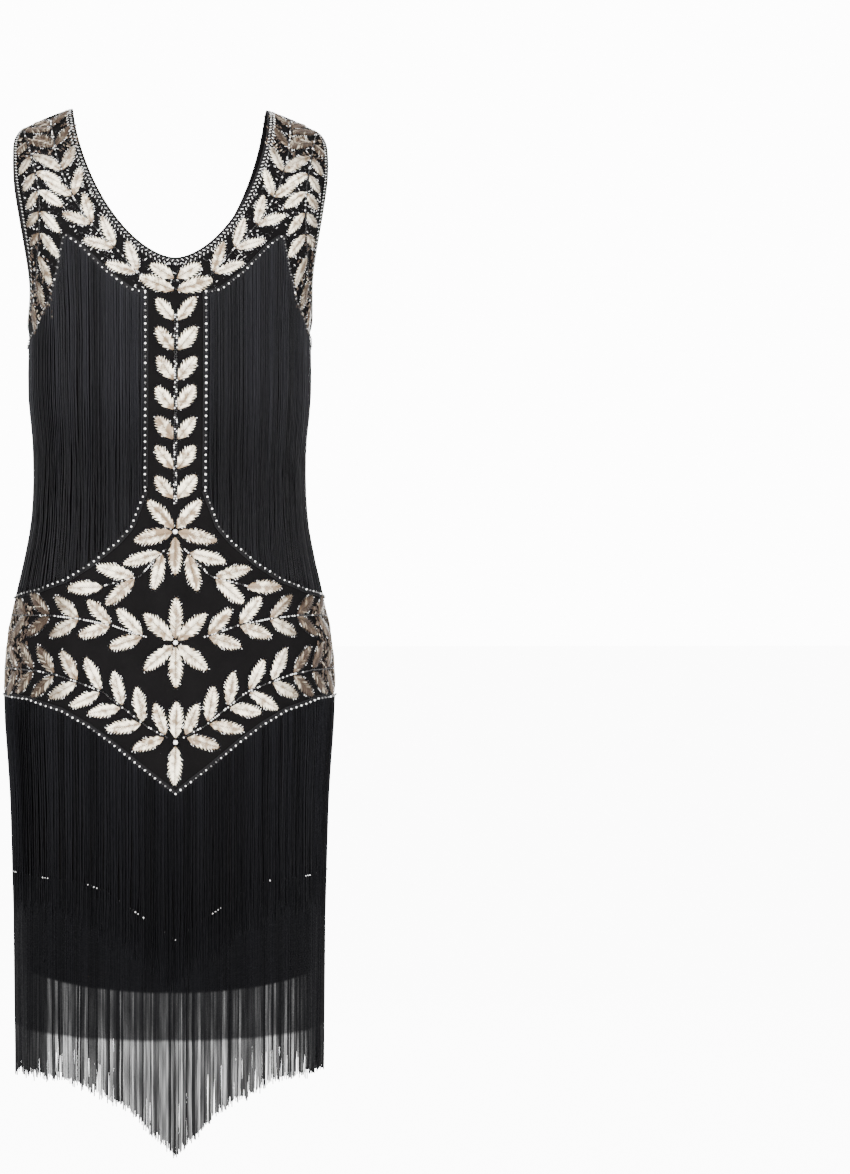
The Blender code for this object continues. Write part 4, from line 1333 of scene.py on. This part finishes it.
for name, side in sides.items():
    runs = []
    for key in ("bodiceFringe", "columnEdge", "hipTop", "hipBottom"):
        right = evenly(side.route(lines[key]), trims["tapeStep"])
        left = right * (-1, 1)
        apart = lines[key][0][0] > 0
        runs += [right, left] if apart else [np.concatenate([left[::-1], right[1:]])]
    declare(showPiece(tapeMesh(name + "Tapes", side, runs), name + "Tapes"), "beaded_net")

    rims = [side.spots(*(evenly(edge, trims["bindingStep"]) * sign).T, -0.0002)[0]
            for edge in (neckEdge(side), armEdge(side)) for sign in bothHands]
    rimMesh = cordMesh(name + "Binding", rims, trims["binding"], "binding")
    declare(showPiece(rimMesh, name + "Binding"), "beaded_net")

side = sides["front"]
sideDowns = side.down(np.linspace(cut["underarm"], cut["netHem"] - cut["netRise"], 90))
shoulder = np.linspace(neckEdge(side)[-1][0], armEdge(side)[0][0], 20)
seams = [side.spots(across * sign, downs)[0]
         for across, downs in ((side.reach(sideDowns), sideDowns), (shoulder, 0 * shoulder))
         for sign in (1, -1)]
seamMesh = cordMesh("seams", seams, trims["seam"], "binding")
declare(showPiece(seamMesh, "seams"), "beaded_net")
print("edges bound")


# Studio

studio = {
    "distance": 3.2,
    "azimuth": -3.0,
    "height": -0.4934,
    "frameHeight": 1.209,  # at the dress, from the top of the picture to its bottom
    "photo": (850, 1174),
    "dressAt": 169.5,  # where the middle of the dress stands in the picture, in pixels
    "sensor": 36,
    "aim": (0, 0, -0.45),
    "floor": -1.32,
    "floorHalf": 40.0,
    "softLight": 1.2,
    "seenWhite": 13.0,
    "paperGlow": 0.85,  # share of the white that the camera sees on the floor
}

lamps = {
    "key": {"at": (-1.7, -2.6, 0.9), "size": 1.5, "power": 380},
    "fill": {"at": (2.2, -2.2, 0.1), "size": 1.8, "power": 190},
    "top": {"at": (0.2, 0.4, 2.0), "size": 1.6, "power": 30},
    "rear": {"at": (0.6, 2.8, 0.4), "size": 1.8, "power": 190},
}


def addLamp(name, look):
    light = bpy.data.lights.new(name, "AREA")
    light.shape = "DISK"
    light.size = look["size"]
    light.energy = look["power"]
    lamp = bpy.data.objects.new(name, light)
    lamp.location = look["at"]
    aim = Vector(studio["aim"]) - Vector(look["at"])
    lamp.rotation_euler = aim.to_track_quat("-Z", "Y").to_euler()
    bpy.context.scene.collection.objects.link(lamp)


def whiteFloor():  # pale paper, lit evenly up to the horizon
    wide = studio["floorHalf"]
    corners = [(x * wide, y * wide, studio["floor"]) for x, y in
               ((-1, -1), (1, -1), (1, 1), (-1, 1))]
    mesh = newMesh("floor", corners, faces=[(0, 1, 2, 3)])
    board = newMaterial("floorPaper", {"Roughness": 0.9, "Specular IOR Level": 0.1})
    pale = board.mix(board.noise(3.0), (0.90, 0.90, 0.90, 1), (0.93, 0.93, 0.93, 1))
    mesh.materials.append(board.feed(colour=pale))
    glow = board.put("ShaderNodeEmission", {"Strength": studio["seenWhite"]})
    seen = board.put("ShaderNodeLightPath") * studio["paperGlow"]
    paper = board.put("ShaderNodeMixShader", {0: seen, 1: Wire(board, board.shader.outputs[0]),
                                              2: glow})
    board.tree.links.new(paper.socket, board.tree.nodes["Material Output"].inputs[0])
    showPiece(mesh, "floor")


def softWorld():  # a soft light all round, which the camera sees as white
    world = bpy.data.worlds.new("studio")
    bpy.context.scene.world = world
    world.use_nodes = True
    board = Board(world.node_tree)
    seen = board.put("ShaderNodeLightPath")
    strength = seen * (studio["seenWhite"] - studio["softLight"]) + studio["softLight"]
    back = board.tree.nodes["Background"]
    back.inputs["Color"].default_value = (1, 1, 1, 1)
    board.tree.links.new(strength.socket, back.inputs["Strength"])


def addCamera():
    camera = bpy.data.cameras.new("camera")
    camera.sensor_width = studio["sensor"]
    camera.lens = studio["sensor"] * studio["distance"] / studio["frameHeight"]
    wide, tall = studio["photo"]
    camera.shift_x = (wide / 2 - studio["dressAt"]) / tall
    turn = math.radians(studio["azimuth"])
    eye = bpy.data.objects.new("camera", camera)
    eye.location = (studio["distance"] * math.sin(turn), -studio["distance"] * math.cos(turn),
                    studio["height"])
    eye.rotation_euler = (math.pi / 2, 0, turn)
    bpy.context.scene.collection.objects.link(eye)
    bpy.context.scene.camera = eye


whiteFloor()
softWorld()
addCamera()
for name, look in lamps.items():
    addLamp(name, look)
print("studio ready")
